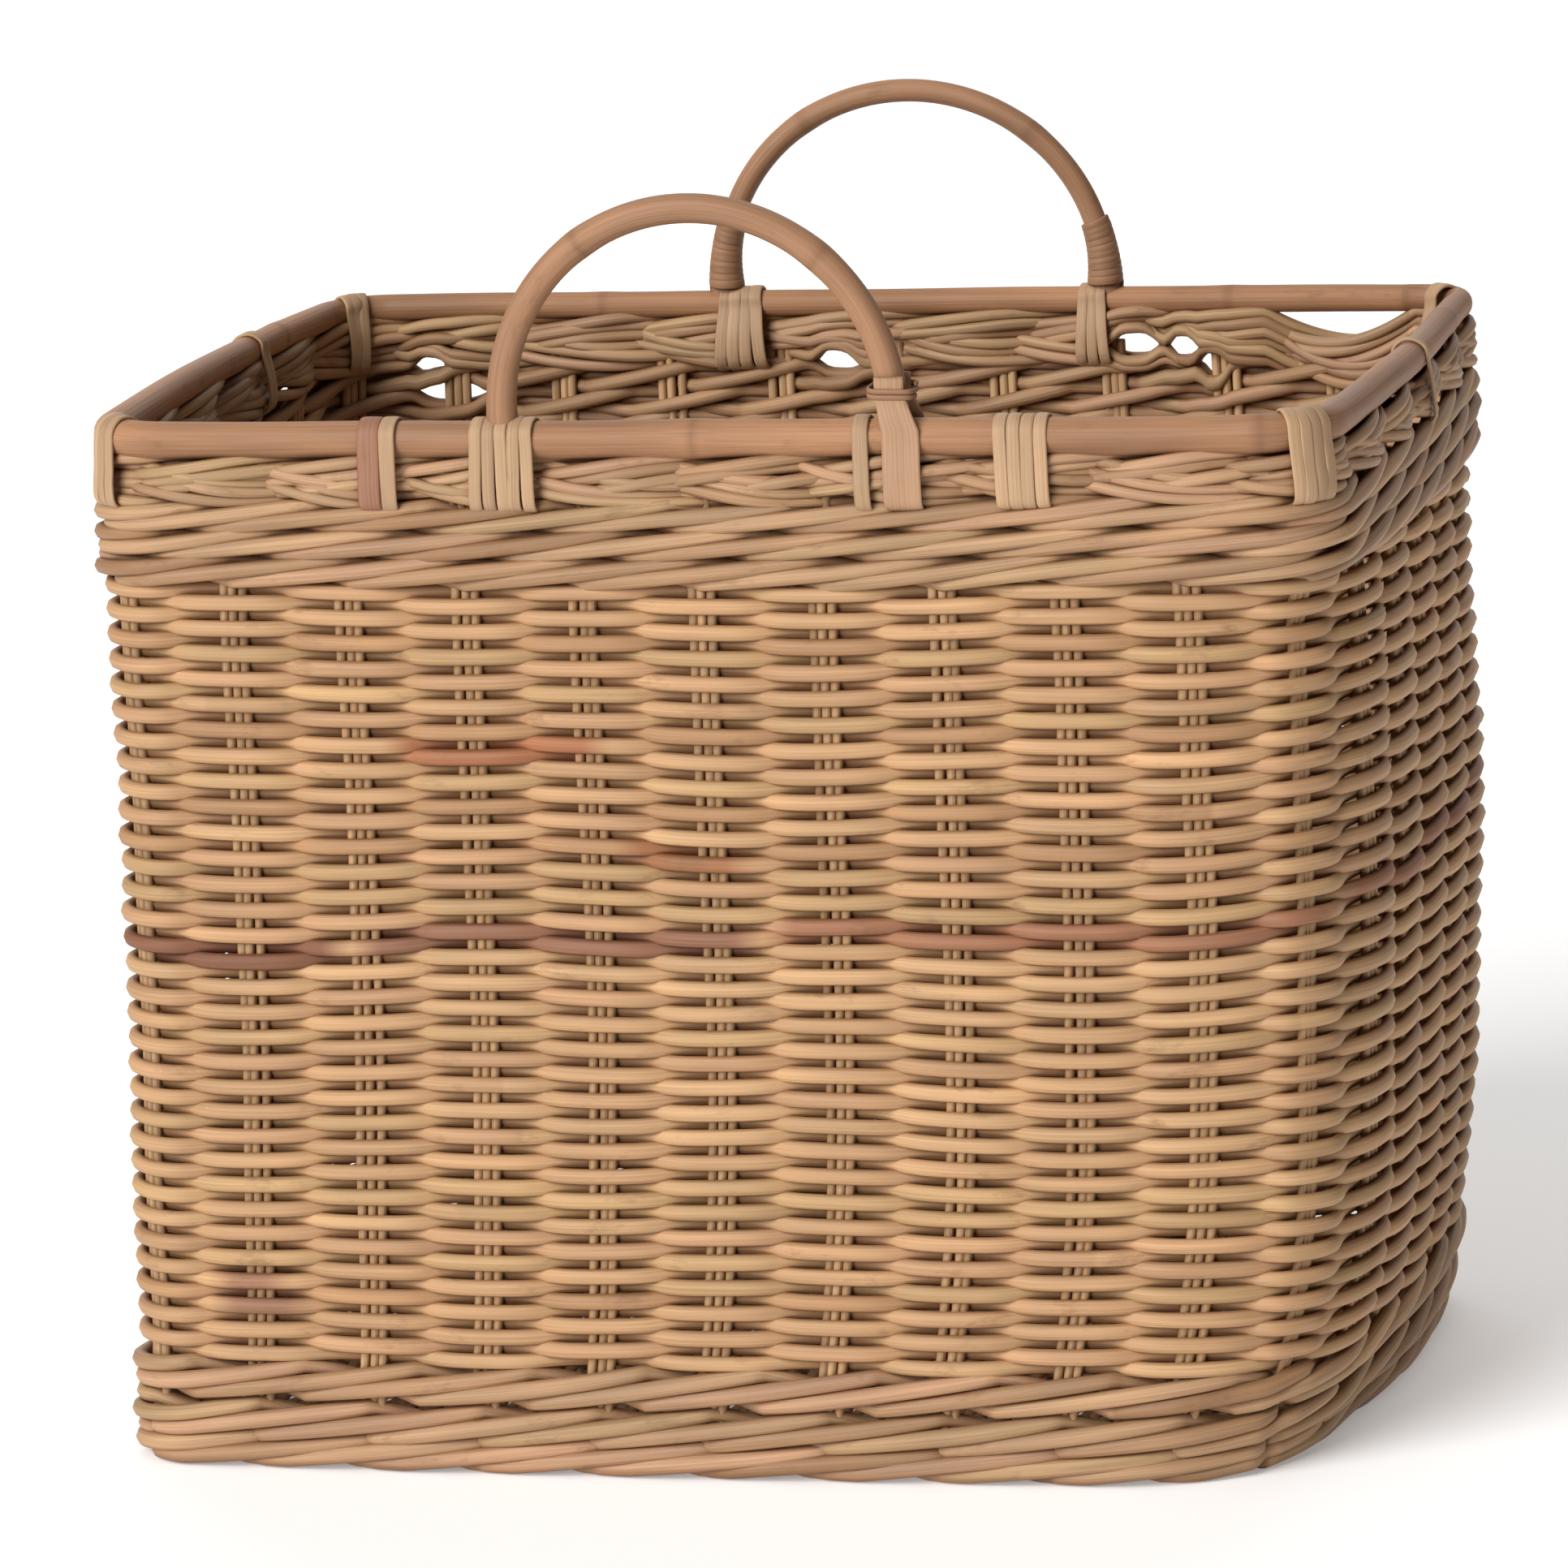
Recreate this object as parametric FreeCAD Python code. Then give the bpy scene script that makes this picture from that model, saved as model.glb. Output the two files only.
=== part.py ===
import FreeCAD, Part
import math
import os

# Rectangular wicker log basket with two upright cane handles.
# Millimetres. The origin is the middle of the footprint, on the floor. +Z is up, the front faces -Y.

# Driving dimensions.
# The wall's middle line in plan is a rounded rectangle whose four sides bow out a little.
HALF_LENGTH = 253.0          # from the centre to the middle of a short side, along X
HALF_DEPTH = 160.0           # from the centre to the middle of a long side, along Y
CORNER_RADIUS = 26.0
SIDE_BOW = 4.0               # how far each side bows out between its corners

# Heights of the layers, from the floor up.
FOOT_BORDER_TOP = 14.0
FOOT_WALE_TOP = 46.0
WALL_TOP = 368.0
UPPER_WALE_TOP = 394.0
BORDER_TOP = 419.0

# Inner and outer faces of each layer, as distances from the wall's middle line, outwards positive.
FOOT_BORDER_FACES = (-8.0, 7.0)
FOOT_WALE_FACES = (-8.0, 9.0)
WALL_FACES = (-7.0, 7.0)
UPPER_WALE_FACES = (-8.0, 12.0)
BORDER_FACES = (-10.0, 12.0)

# Rim cane: one bent cane lying on the border.
RIM_RADIUS = 8.0
RIM_OFFSET = 1.0             # the cane's axis, outwards from the wall's middle line
RIM_HEIGHT = BORDER_TOP + RIM_RADIUS
SCARF_X = 190.0              # where the cane's two ends meet, on the back
SCARF_SLOPE = 12.0           # degrees between the scarf cut and the cane's axis
SCARF_GAP = 0.3

# The border dips below the rim cane near its back right corner.
DIP_X = (172.0, 222.0)
DIP_DEPTH = 9.0

# Upright stakes: groups of thin rods standing in the middle of the wall.
STAKE_RADIUS = 1.97
STAKE_PITCH = 4.05
RODS_IN_GROUP = 3
LONG_SIDE_GROUPS = 9
SHORT_SIDE_GROUPS = 5
GROUP_PITCH = {"front": 48.5, "back": 48.5, "left": 50.0, "right": 50.0}
CHANNEL_WIDTH = RODS_IN_GROUP * STAKE_PITCH + 0.1
CHANNEL_DEPTH = 2 * STAKE_RADIUS + 0.1

# Base: parallel sticks along X in a woven mat.
BASE_BOTTOM = 8.5
BASE_TOP = 17.5
BASE_STICKS = 7
STICK_RADIUS = 3.5
STICK_PITCH = 44.0
STICK_HALF_LENGTH = 235.0
BASE_CLEARANCE = 0.05

# Cane bindings round the rim cane and the border.
STRAND_THICKNESS = 2.4
STRAND_GAP = 0.3
BINDING_CLEARANCE = 0.35

# Handles: half circles of bent cane standing on the rim cane.
HANDLE_SPRING = 438.0        # height of the half circle's centre
HANDLES = {
    "front": {"side": "front", "x": 2.0, "arch": 80.0, "cane": 6.5},
    "back": {"side": "back", "x": 12.0, "arch": 83.0, "cane": 5.3},
}
TAIL_TOP = 452.0             # where the strap's tails end beside the leg
TAIL_START = 440.0           # where the tails reach the leg
LEG_CLEARANCE = 0.4          # between a leg and the flat tails beside it
TONGUE_WHIPPING_BOTTOM = 442.5
TONGUE_WHIPPING_TURNS = 3
COLLAR_BOTTOM = 438.5        # the collars of thin turns round the back handle's legs
COLLAR_TURNS = 8
WHIPPING_TURN_HEIGHT = 2.6
WHIPPING_PITCH = 2.9
WHIPPING_THICKNESS = 1.6

V = FreeCAD.Vector
UP = V(0, 0, 1)

# Centres of the corner arcs, and the long arcs that make the bowed sides.
CORNER_X = HALF_LENGTH - SIDE_BOW - CORNER_RADIUS
CORNER_Y = HALF_DEPTH - SIDE_BOW - CORNER_RADIUS


def bowed_radius(corner_centre):
    """Radius of the long arc that is tangent to both corner arcs and reaches SIDE_BOW past them."""
    reach = CORNER_RADIUS + SIDE_BOW
    return (corner_centre ** 2 + reach ** 2 - CORNER_RADIUS ** 2) / (2 * SIDE_BOW)


LONG_ARC = bowed_radius(CORNER_X)
SHORT_ARC = bowed_radius(CORNER_Y)
LONG_ARC_CENTRE = HALF_DEPTH - LONG_ARC      # Y of the back side's arc centre
SHORT_ARC_CENTRE = HALF_LENGTH - SHORT_ARC   # X of the right side's arc centre


def unit(x, y):
    size = math.hypot(x, y)
    return V(x / size, y / size, 0)


def quarter_points(offset):
    """Points of the outline in the quarter where X and Y are positive, from the right side to the back."""
    corner = V(CORNER_X, CORNER_Y, 0)
    to_right = unit(CORNER_X - SHORT_ARC_CENTRE, CORNER_Y)
    to_back = unit(CORNER_X, CORNER_Y - LONG_ARC_CENTRE)
    middle = unit(to_right.x + to_back.x, to_right.y + to_back.y)
    radius = CORNER_RADIUS + offset
    return corner + to_right * radius, corner + middle * radius, corner + to_back * radius


def mirrored(point, sign_x, sign_y):
    return V(point.x * sign_x, point.y * sign_y, point.z)


def outline(offset, z):
    """Closed plan wire at a distance from the wall's middle line: four corner arcs and four bowed sides."""
    right, middle, back = quarter_points(offset)
    corners = []
    for sign_x, sign_y in ((1, 1), (-1, 1), (-1, -1), (1, -1)):
        arc = [mirrored(p, sign_x, sign_y) for p in (right, middle, back)]
        if sign_x * sign_y < 0:
            arc.reverse()
        corners.append(arc)
    side_middles = [
        V(0, HALF_DEPTH + offset, 0),
        V(-HALF_LENGTH - offset, 0, 0),
        V(0, -HALF_DEPTH - offset, 0),
        V(HALF_LENGTH + offset, 0, 0),
    ]
    edges = []
    for index, arc in enumerate(corners):
        following = corners[(index + 1) % 4]
        edges.append(Part.Arc(*arc).toShape())
        edges.append(Part.Arc(arc[2], side_middles[index], following[0]).toShape())
    wire = Part.Wire(edges)
    wire.translate(V(0, 0, z))
    return wire


def slab(offset, bottom, top):
    return Part.Face(outline(offset, bottom)).extrude(UP * (top - bottom))


def ring(faces, bottom, top):
    """A closed band round the basket between two offsets and two heights."""
    inner, outer = faces
    return slab(outer, bottom, top).cut(slab(inner, bottom, top))


def station(side, along, offset=0.0):
    """Point on the outline, and how far the front's frame is turned there, in degrees.

    On the front and back, along is X. On the left and right, along is Y. At a corner it isn't used.
    """
    if side in ("front", "back"):
        radius = LONG_ARC + offset
        reach = math.sqrt(radius ** 2 - along ** 2)
        y = LONG_ARC_CENTRE + reach
        lean = math.degrees(math.asin(along / radius))
        if side == "back":
            return V(along, y, 0), 180 - lean
        return V(along, -y, 0), lean
    if side in ("left", "right"):
        radius = SHORT_ARC + offset
        reach = math.sqrt(radius ** 2 - along ** 2)
        x = SHORT_ARC_CENTRE + reach
        lean = math.degrees(math.asin(along / radius))
        if side == "right":
            return V(x, along, 0), 90 + lean
        return V(-x, along, 0), 270 - lean
    depth, width = side.split("_")
    sign_x = 1 if width == "right" else -1
    sign_y = 1 if depth == "back" else -1
    point = mirrored(quarter_points(offset)[1], sign_x, sign_y)
    outward = point - V(sign_x * CORNER_X, sign_y * CORNER_Y, 0)
    return point, math.degrees(math.atan2(outward.y, outward.x)) + 90


def placed(shape, side, along, offset=0.0):
    """Moves a shape made at the origin, with its outer side to -Y, to its place on the outline."""
    point, turn = station(side, along, offset)
    moved = shape.copy()
    moved.rotate(V(0, 0, 0), UP, turn)
    moved.translate(point)
    return moved


def box(x_range, y_range, z_range):
    size = [high - low for low, high in (x_range, y_range, z_range)]
    return Part.makeBox(*size, V(x_range[0], y_range[0], z_range[0]))


# Stakes.

def group_places(side, groups):
    return [(side, GROUP_PITCH[side] * (index - (groups - 1) / 2)) for index in range(groups)]


def stake_rods(side, along):
    """The rods of one group, side by side along the wall."""
    rods = []
    for index in range(RODS_IN_GROUP):
        shift = STAKE_PITCH * (index - (RODS_IN_GROUP - 1) / 2)
        rod = Part.makeCylinder(STAKE_RADIUS, UPPER_WALE_TOP - FOOT_BORDER_TOP, V(shift, 0, FOOT_BORDER_TOP))
        rods.append(placed(rod, side, along))
    return rods


def stake_channel(side, along):
    half_width = CHANNEL_WIDTH / 2
    half_depth = CHANNEL_DEPTH / 2
    channel = box((-half_width, half_width), (-half_depth, half_depth), (0, BORDER_TOP))
    return placed(channel, side, along)


CORNERS = ("front_left", "front_right", "back_right", "back_left")
STAKE_PLACES = {
    "front_stakes": group_places("front", LONG_SIDE_GROUPS),
    "back_stakes": group_places("back", LONG_SIDE_GROUPS),
    "left_stakes": group_places("left", SHORT_SIDE_GROUPS),
    "right_stakes": group_places("right", SHORT_SIDE_GROUPS),
    "corner_stakes": [(corner, 0) for corner in CORNERS],
}


def make_stakes():
    nodes = {}
    for name, places in STAKE_PLACES.items():
        nodes[name] = [rod for place in places for rod in stake_rods(*place)]
    return nodes


# Woven layers.

def all_channels():
    return [stake_channel(*place) for places in STAKE_PLACES.values() for place in places]


def wall_sector(side):
    """Prism that holds one side of the wall, mitred through the corner arcs' centres."""
    ends = {
        "front": ((-1, -1), (1, -1)),
        "back": ((1, 1), (-1, 1)),
        "left": ((-1, 1), (-1, -1)),
        "right": ((1, -1), (1, 1)),
    }[side]
    far = 200
    inner = [V(sx * CORNER_X, sy * CORNER_Y, 0) for sx, sy in ends]
    outer = [V(sx * (CORNER_X + far), sy * (CORNER_Y + far), 0) for sx, sy in reversed(ends)]
    face = Part.Face(Part.makePolygon(inner + outer + inner[:1]))
    return face.extrude(UP * BORDER_TOP)


def make_woven_layers():
    channels = all_channels()
    wall = ring(WALL_FACES, FOOT_WALE_TOP, WALL_TOP).cut(channels)
    nodes = {
        "foot_border": [ring(FOOT_BORDER_FACES, 0, FOOT_BORDER_TOP)],
        "foot_wale": [ring(FOOT_WALE_FACES, FOOT_BORDER_TOP, FOOT_WALE_TOP).cut(channels)],
        "upper_wale": [ring(UPPER_WALE_FACES, WALL_TOP, UPPER_WALE_TOP).cut(channels)],
    }
    for side in ("front", "back", "left", "right"):
        nodes[side + "_wall_weave"] = [wall.common(wall_sector(side))]
    return nodes


def make_base():
    """Sticks along X, and the mat woven round them, which has a tunnel for each stick."""
    sticks = []
    tunnels = []
    for index in range(BASE_STICKS):
        y = STICK_PITCH * (index - (BASE_STICKS - 1) / 2)
        z = (BASE_BOTTOM + BASE_TOP) / 2
        start = V(-STICK_HALF_LENGTH, y, z)
        sticks.append(Part.makeCylinder(STICK_RADIUS, 2 * STICK_HALF_LENGTH, start, V(1, 0, 0)))
        tunnel_start = V(-HALF_LENGTH, y, z)
        tunnel_radius = STICK_RADIUS + BASE_CLEARANCE
        tunnels.append(Part.makeCylinder(tunnel_radius, 2 * HALF_LENGTH, tunnel_start, V(1, 0, 0)))
    edge = FOOT_WALE_FACES[0] - BASE_CLEARANCE
    mat = slab(edge, BASE_BOTTOM, BASE_TOP)
    return {"base_sticks": sticks, "base_weave": [mat.cut(tunnels)]}


# Rim cane.

def rim_ring(radius):
    """Round bar along the rim's closed line."""
    path = outline(RIM_OFFSET, RIM_HEIGHT)
    first = path.Edges[0]
    start = first.valueAt(first.FirstParameter)
    direction = first.tangentAt(first.FirstParameter)
    profile = Part.Wire(Part.makeCircle(radius, start, direction))
    return path.makePipeShell([profile], True, True)


def make_rim():
    """The cane is cut once, on a slope, where its two skived ends lie on each other."""
    cane = rim_ring(RIM_RADIUS)
    cut_length = 2 * RIM_RADIUS / math.sin(math.radians(SCARF_SLOPE)) + 10
    cut = box((-cut_length / 2, cut_length / 2), (-20, 20), (-SCARF_GAP / 2, SCARF_GAP / 2))
    cut.rotate(V(0, 0, 0), V(0, 1, 0), SCARF_SLOPE)
    cut.translate(V(0, 0, RIM_HEIGHT))
    return {"rim_cane": [cane.cut(placed(cut, "back", SCARF_X, RIM_OFFSET))]}


# Bindings. Their section is drawn in the YZ plane, with the outer side to -Y.

def section_face(points):
    corners = [V(0, -offset, z) for offset, z in points]
    return Part.Face(Part.makePolygon(corners + corners[:1]))


def straight_strand(points, width, shift):
    """Flat strand bent round a section: the section grown by the strand's thickness, less the section."""
    inner = section_face(points)
    outer = inner.makeOffset2D(STRAND_THICKNESS)
    strand = outer.extrude(V(width, 0, 0)).cut(inner.extrude(V(width, 0, 0)))
    strand.translate(V(shift - width / 2, 0, 0))
    return strand


def corner_strand(points, width, shift):
    """The same at a corner, where the strand turns about the corner's centre and is narrower inside."""
    inner = section_face(points)
    outer = inner.makeOffset2D(STRAND_THICKNESS)
    centre = V(0, CORNER_RADIUS, 0)
    outside = CORNER_RADIUS + BORDER_FACES[1]
    turn = math.degrees(width / outside)
    strand = outer.revolve(centre, UP, turn).cut(inner.revolve(centre, UP, turn))
    strand.rotate(centre, UP, math.degrees(shift / outside) - turn / 2)
    return strand


# The border's two sides with clearance, and the floor of a binding, which lies on the upper wale.
INNER_SIDE = BORDER_FACES[0] - BINDING_CLEARANCE
OUTER_SIDE = BORDER_FACES[1] + BINDING_CLEARANCE
BINDING_FLOOR = UPPER_WALE_TOP + 0.05 + STRAND_THICKNESS
RIM_TOP = RIM_HEIGHT + RIM_RADIUS


def binding_section():
    """Round the border and over the rim cane."""
    shoulder = RIM_TOP - 4.0
    return [
        (INNER_SIDE, BINDING_FLOOR),
        (OUTER_SIDE, BINDING_FLOOR),
        (OUTER_SIDE, BORDER_TOP + 0.3),
        (RIM_OFFSET + 7.6, shoulder),
        (RIM_OFFSET + 4.0, RIM_TOP + 0.2),
        (RIM_OFFSET - 4.0, RIM_TOP + 0.2),
        (RIM_OFFSET - 7.6, shoulder),
        (INNER_SIDE, BORDER_TOP + 0.3),
    ]


def strap_section(leg_radius):
    """Round the border, then up each side of a handle's leg."""
    reach = leg_radius + LEG_CLEARANCE
    return [
        (INNER_SIDE, BINDING_FLOOR),
        (OUTER_SIDE, BINDING_FLOOR),
        (OUTER_SIDE, BORDER_TOP + 0.3),
        (RIM_OFFSET + reach, TAIL_START),
        (RIM_OFFSET + reach, TAIL_TOP + 5),
        (RIM_OFFSET - reach, TAIL_TOP + 5),
        (RIM_OFFSET - reach, TAIL_START),
        (INNER_SIDE, BORDER_TOP + 0.3),
    ]


def strands(side, along, count, width, section):
    """Parallel strands of one binding, side by side along the rim."""
    pitch = width + STRAND_GAP
    make = corner_strand if side in CORNERS else straight_strand
    made = []
    for index in range(count):
        strand = make(section, width, pitch * (index - (count - 1) / 2))
        made.append(placed(strand, side, along))
    return made


# Name: side, middle along that side, strands, strand width.
BINDINGS = {
    "front_left_corner_binding": ("front_left", 0, 3, 5.2),
    "front_left_red_binding": ("front", -132.0, 1, 8.6),
    "front_left_light_binding": ("front", -124.3, 1, 6.2),
    "front_right_handle_tie": ("front", 69.6, 1, 6.2),
    "front_right_binding": ("front", 133.6, 4, 5.0),
    "front_right_corner_binding": ("front_right", 0, 4, 4.8),
    "back_left_corner_binding": ("back_left", 0, 3, 5.2),
    "back_right_corner_binding": ("back_right", 0, 2, 5.6),
    "left_side_tie": ("left", 52.0, 2, 3.6),
    "right_side_tie": ("right", 14.0, 1, 3.6),
}


def make_bindings():
    nodes = {}
    for name, (side, along, count, width) in BINDINGS.items():
        nodes[name] = strands(side, along, count, width, binding_section())
    return nodes


# Handles.

# The strands that bind a handle foot to the rim: strands, strand width, shift from the leg along X.
FOOT_STRANDS = {
    "front_handle_left": (5, 4.9, 1.0),
    "back_handle_left": (4, 5.2, 7.0),
    "back_handle_right": (3, 4.3, -5.0),
}
# The front handle's right foot is held by one wide tongue instead, which runs up the leg.
TONGUE_WIDTH = 15.0
TONGUE_SHIFT = 4.0
LEG_INWARD_BEND = 1.4        # how far the hoop has bent inwards by the top of the tongue


def handle_plane(handle):
    """Y of the arch: over the rim cane's axis, midway between the two feet."""
    feet = [handle["x"] + side * handle["arch"] for side in (-1, 1)]
    return sum(station(handle["side"], x, RIM_OFFSET)[0].y for x in feet) / 2


def make_handle(handle):
    """Half circle of cane with short legs that are hollowed to sit on the rim cane."""
    y = handle_plane(handle)
    x = handle["x"]
    arch = handle["arch"]
    feet = [V(x + side * arch, y, RIM_HEIGHT) for side in (-1, 1)]
    springs = [V(foot.x, y, HANDLE_SPRING) for foot in feet]
    crown = V(x, y, HANDLE_SPRING + arch)
    path = Part.Wire([
        Part.LineSegment(feet[0], springs[0]).toShape(),
        Part.Arc(springs[0], crown, springs[1]).toShape(),
        Part.LineSegment(springs[1], feet[1]).toShape(),
    ])
    profile = Part.Wire(Part.makeCircle(handle["cane"], feet[0], UP))
    cane = path.makePipeShell([profile], True, True)
    return cane.cut(rim_ring(RIM_RADIUS + 0.05))


def leg_place(handle, side):
    """X of one leg, and the direction along X from the handle's middle to it."""
    sign = 1 if side == "right" else -1
    return handle["x"] + sign * handle["arch"], sign


def foot_strands(handle, side, count, width, shift):
    """Whole loops round the rim and border, and the same loops with the leg's place cut out of them."""
    along = leg_place(handle, side)[0]
    loops = strands(handle["side"], along + shift, count, width, binding_section())
    foot = V(along, handle_plane(handle), RIM_HEIGHT)
    leg = Part.makeCylinder(handle["cane"] + LEG_CLEARANCE, RIM_RADIUS * 3, foot, UP)
    return loops, [solid for loop in loops for solid in loop.cut(leg).Solids]


def make_tongue(handle, side):
    """The wide strap round the border that runs up both faces of the leg."""
    along = leg_place(handle, side)[0] + TONGUE_SHIFT
    above = box((-400, 400), (-400, 400), (TAIL_TOP, TAIL_TOP + 50))
    section = strap_section(handle["cane"])
    return [strand.cut(above) for strand in strands(handle["side"], along, 1, TONGUE_WIDTH, section)]


def tongue_whipping(handle, side):
    """Thin turns that hold the tongue to the leg."""
    along = leg_place(handle, side)[0] + TONGUE_SHIFT
    leg_edge = handle["cane"] + LEG_CLEARANCE
    left = -TONGUE_SHIFT - leg_edge - LEG_INWARD_BEND
    right = TONGUE_WIDTH / 2 + 0.3
    half_depth = leg_edge + STRAND_THICKNESS + 0.1
    grow = WHIPPING_THICKNESS
    turns = []
    for index in range(TONGUE_WHIPPING_TURNS):
        z = TONGUE_WHIPPING_BOTTOM + index * WHIPPING_PITCH
        heights = (z, z + WHIPPING_TURN_HEIGHT)
        inner = box((left, right), (-half_depth, half_depth), heights)
        outer = box((left - grow, right + grow), (-half_depth - grow, half_depth + grow), heights)
        turn = outer.cut(inner)
        turn.translate(V(0, -RIM_OFFSET, 0))
        turns.append(placed(turn, handle["side"], along))
    return turns


def leg_collar(handle, side):
    """Thin turns side by side round a leg, each square to the cane where the hoop has begun to bend."""
    sign = leg_place(handle, side)[1]
    inside = handle["cane"] + 0.1
    turns = []
    for index in range(COLLAR_TURNS):
        rise = COLLAR_BOTTOM + index * WHIPPING_PITCH - HANDLE_SPRING
        bend = rise / handle["arch"]
        centre = V(
            handle["x"] + sign * handle["arch"] * math.cos(bend),
            handle_plane(handle),
            HANDLE_SPRING + handle["arch"] * math.sin(bend),
        )
        heading = V(-sign * math.sin(bend), 0, math.cos(bend))
        outer = Part.makeCylinder(inside + WHIPPING_THICKNESS, WHIPPING_TURN_HEIGHT, centre, heading)
        turns.append(outer.cut(Part.makeCylinder(inside, WHIPPING_TURN_HEIGHT, centre, heading)))
    return turns


def make_handles():
    """The two hoops and what holds their feet; also the whole loops, which the border is grooved for."""
    nodes = {end + "_handle": [make_handle(handle)] for end, handle in HANDLES.items()}
    wrapped = []
    for name, (count, width, shift) in FOOT_STRANDS.items():
        end, _, side = name.split("_")
        loops, cut_loops = foot_strands(HANDLES[end], side, count, width, shift)
        nodes[name + "_strands"] = cut_loops
        wrapped += loops
    nodes["front_handle_right_tongue"] = make_tongue(HANDLES["front"], "right")
    nodes["front_handle_right_whipping"] = tongue_whipping(HANDLES["front"], "right")
    nodes["back_handle_left_collar"] = leg_collar(HANDLES["back"], "left")
    nodes["back_handle_right_collar"] = leg_collar(HANDLES["back"], "right")
    return nodes, wrapped + nodes["front_handle_right_tongue"]


def make_border(wrapped):
    """The plaited border: a band with a dip at the back right, and a groove under it for each strand."""
    border = ring(BORDER_FACES, UPPER_WALE_TOP, BORDER_TOP)
    dip = box(DIP_X, (HALF_DEPTH / 2, HALF_DEPTH * 2), (BORDER_TOP - DIP_DEPTH, BORDER_TOP + 1))
    return {"plaited_border": [border.cut([dip] + wrapped)]}


def write(nodes):
    os.makedirs("parts", exist_ok=True)
    for name, solids in nodes.items():
        shape = solids[0] if len(solids) == 1 else Part.makeCompound(solids)
        shape.exportStep(os.path.join("parts", name + ".step"))


def main():
    nodes = {}
    nodes.update(make_base())
    nodes.update(make_woven_layers())
    nodes.update(make_stakes())
    nodes.update(make_rim())
    bindings = make_bindings()
    handles, wrapped = make_handles()
    wrapped += [strand for group in bindings.values() for strand in group]
    nodes.update(make_border(wrapped))
    nodes.update(bindings)
    nodes.update(handles)
    write(nodes)


main()
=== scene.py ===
import math

import bpy
import numpy as np
from mathutils import Matrix, Vector


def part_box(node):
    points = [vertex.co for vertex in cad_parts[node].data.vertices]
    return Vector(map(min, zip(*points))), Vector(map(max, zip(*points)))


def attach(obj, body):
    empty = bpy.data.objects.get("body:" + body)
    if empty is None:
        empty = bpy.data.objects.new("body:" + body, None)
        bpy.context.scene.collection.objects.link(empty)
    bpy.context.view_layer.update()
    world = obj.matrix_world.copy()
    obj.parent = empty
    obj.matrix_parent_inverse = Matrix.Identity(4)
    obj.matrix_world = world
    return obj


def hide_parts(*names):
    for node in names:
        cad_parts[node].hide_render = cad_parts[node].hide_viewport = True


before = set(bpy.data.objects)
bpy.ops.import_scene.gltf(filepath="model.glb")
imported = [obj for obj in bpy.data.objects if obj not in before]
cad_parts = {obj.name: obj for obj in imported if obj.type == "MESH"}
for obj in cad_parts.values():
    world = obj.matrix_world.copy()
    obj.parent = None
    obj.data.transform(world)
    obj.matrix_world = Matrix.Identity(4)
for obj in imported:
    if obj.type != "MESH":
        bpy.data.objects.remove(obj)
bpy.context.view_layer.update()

# Rectangular wicker log basket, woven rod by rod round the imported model.
# Lengths are millimetres and become metres where a mesh is made. The front faces -Y.
MM = 0.001


def node_box(node):
    """Lowest and highest corners of a CAD node, in millimetres."""
    low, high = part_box(node)
    return np.array(low) / MM, np.array(high) / MM


# The wall's plan: a rounded rectangle whose four sides bow out a little.
RIM_RADIUS = 8.0
RIM_OFFSET = 1.0
CORNER_RADIUS = 26.0
SIDE_BOW = 4.0
rim_low, rim_high = node_box("rim_cane")
HALF_LENGTH = (rim_high[0] - rim_low[0]) / 2 - RIM_RADIUS - RIM_OFFSET
HALF_DEPTH = (rim_high[1] - rim_low[1]) / 2 - RIM_RADIUS - RIM_OFFSET
RIM_HEIGHT = (rim_low[2] + rim_high[2]) / 2

# Heights of the layers.
FOOT_TOP = node_box("foot_border")[1][2]
WALL_BOTTOM = node_box("foot_wale")[1][2]
WALL_TOP = node_box("front_wall_weave")[1][2]
BORDER_BOTTOM, BORDER_TOP = (corner[2] for corner in node_box("plaited_border"))
PLAIT_BOTTOM = BORDER_BOTTOM + 6

# Stakes: groups of thin rods, at these distances apart along each side, and one group at each corner.
SIDE_GROUPS = {"front": (9, 48.5), "back": (9, 48.5), "left": (5, 50.0), "right": (5, 50.0)}
STAKE_RADIUS = 2.05
STAKE_PITCH = 4.0
STAKE_RODS = 3

# The hand-made basket is a little uneven: its foot stands to the left of its rim and is narrower,
# its sides bulge, and its wall's corners are rounder than its border's.
LEAN_AT_RIM = 5.0
LEAN_OF_FOOT = -18.0
FOOT_TAPER = 0.016
BULGE = 0.015
LEFT_RIM_BOW = 1.0
BACK_LEFT_SKEW = 8.0
CORNER_PULL = {"front_right": 13.0, "back_right": 4.0, "front_left": 0.5, "back_left": 4.0}
CORNER_PULL_REACH = 36.0
CORNER_PULL_TOP = WALL_TOP + 12
CORNER_PULL_FADE = 30.0      # from no pull at its top to the whole pull
CORNER_PULL_AT_FOOT = 1.1    # how much more the corners are pulled in at the foot
CORNER_FOOT_HEIGHT = 90.0    # where that starts

# The foot is tucked in on the right side, behind its front corner: how far, where, and up to what height.
FOOT_TUCK = 13.0
FOOT_TUCK_PLACE = 72.0
FOOT_TUCK_REACH = 62.0
FOOT_TUCK_HEIGHT = 75.0

# Slow wavers that all the rows share: the axis that moves, how far, the lengths along X, Y and Z over which
# the waver turns by one radian, and its phase.
WAVERS = [
    (0, 0.7, (math.inf, 90.0, 37.0), 0.0),
    (0, 0.5, (math.inf, math.inf, 19.0), 2.0),
    (1, 0.8, (75.0, math.inf, 41.0), 1.0),
    (2, 1.1, (61.0, math.inf, 83.0), 0.0),
    (2, 0.9, (27.0, 43.0, -59.0), 0.0),
]

SEED = 7


# ---------------------------------------------------------------- plan of the wall

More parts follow.
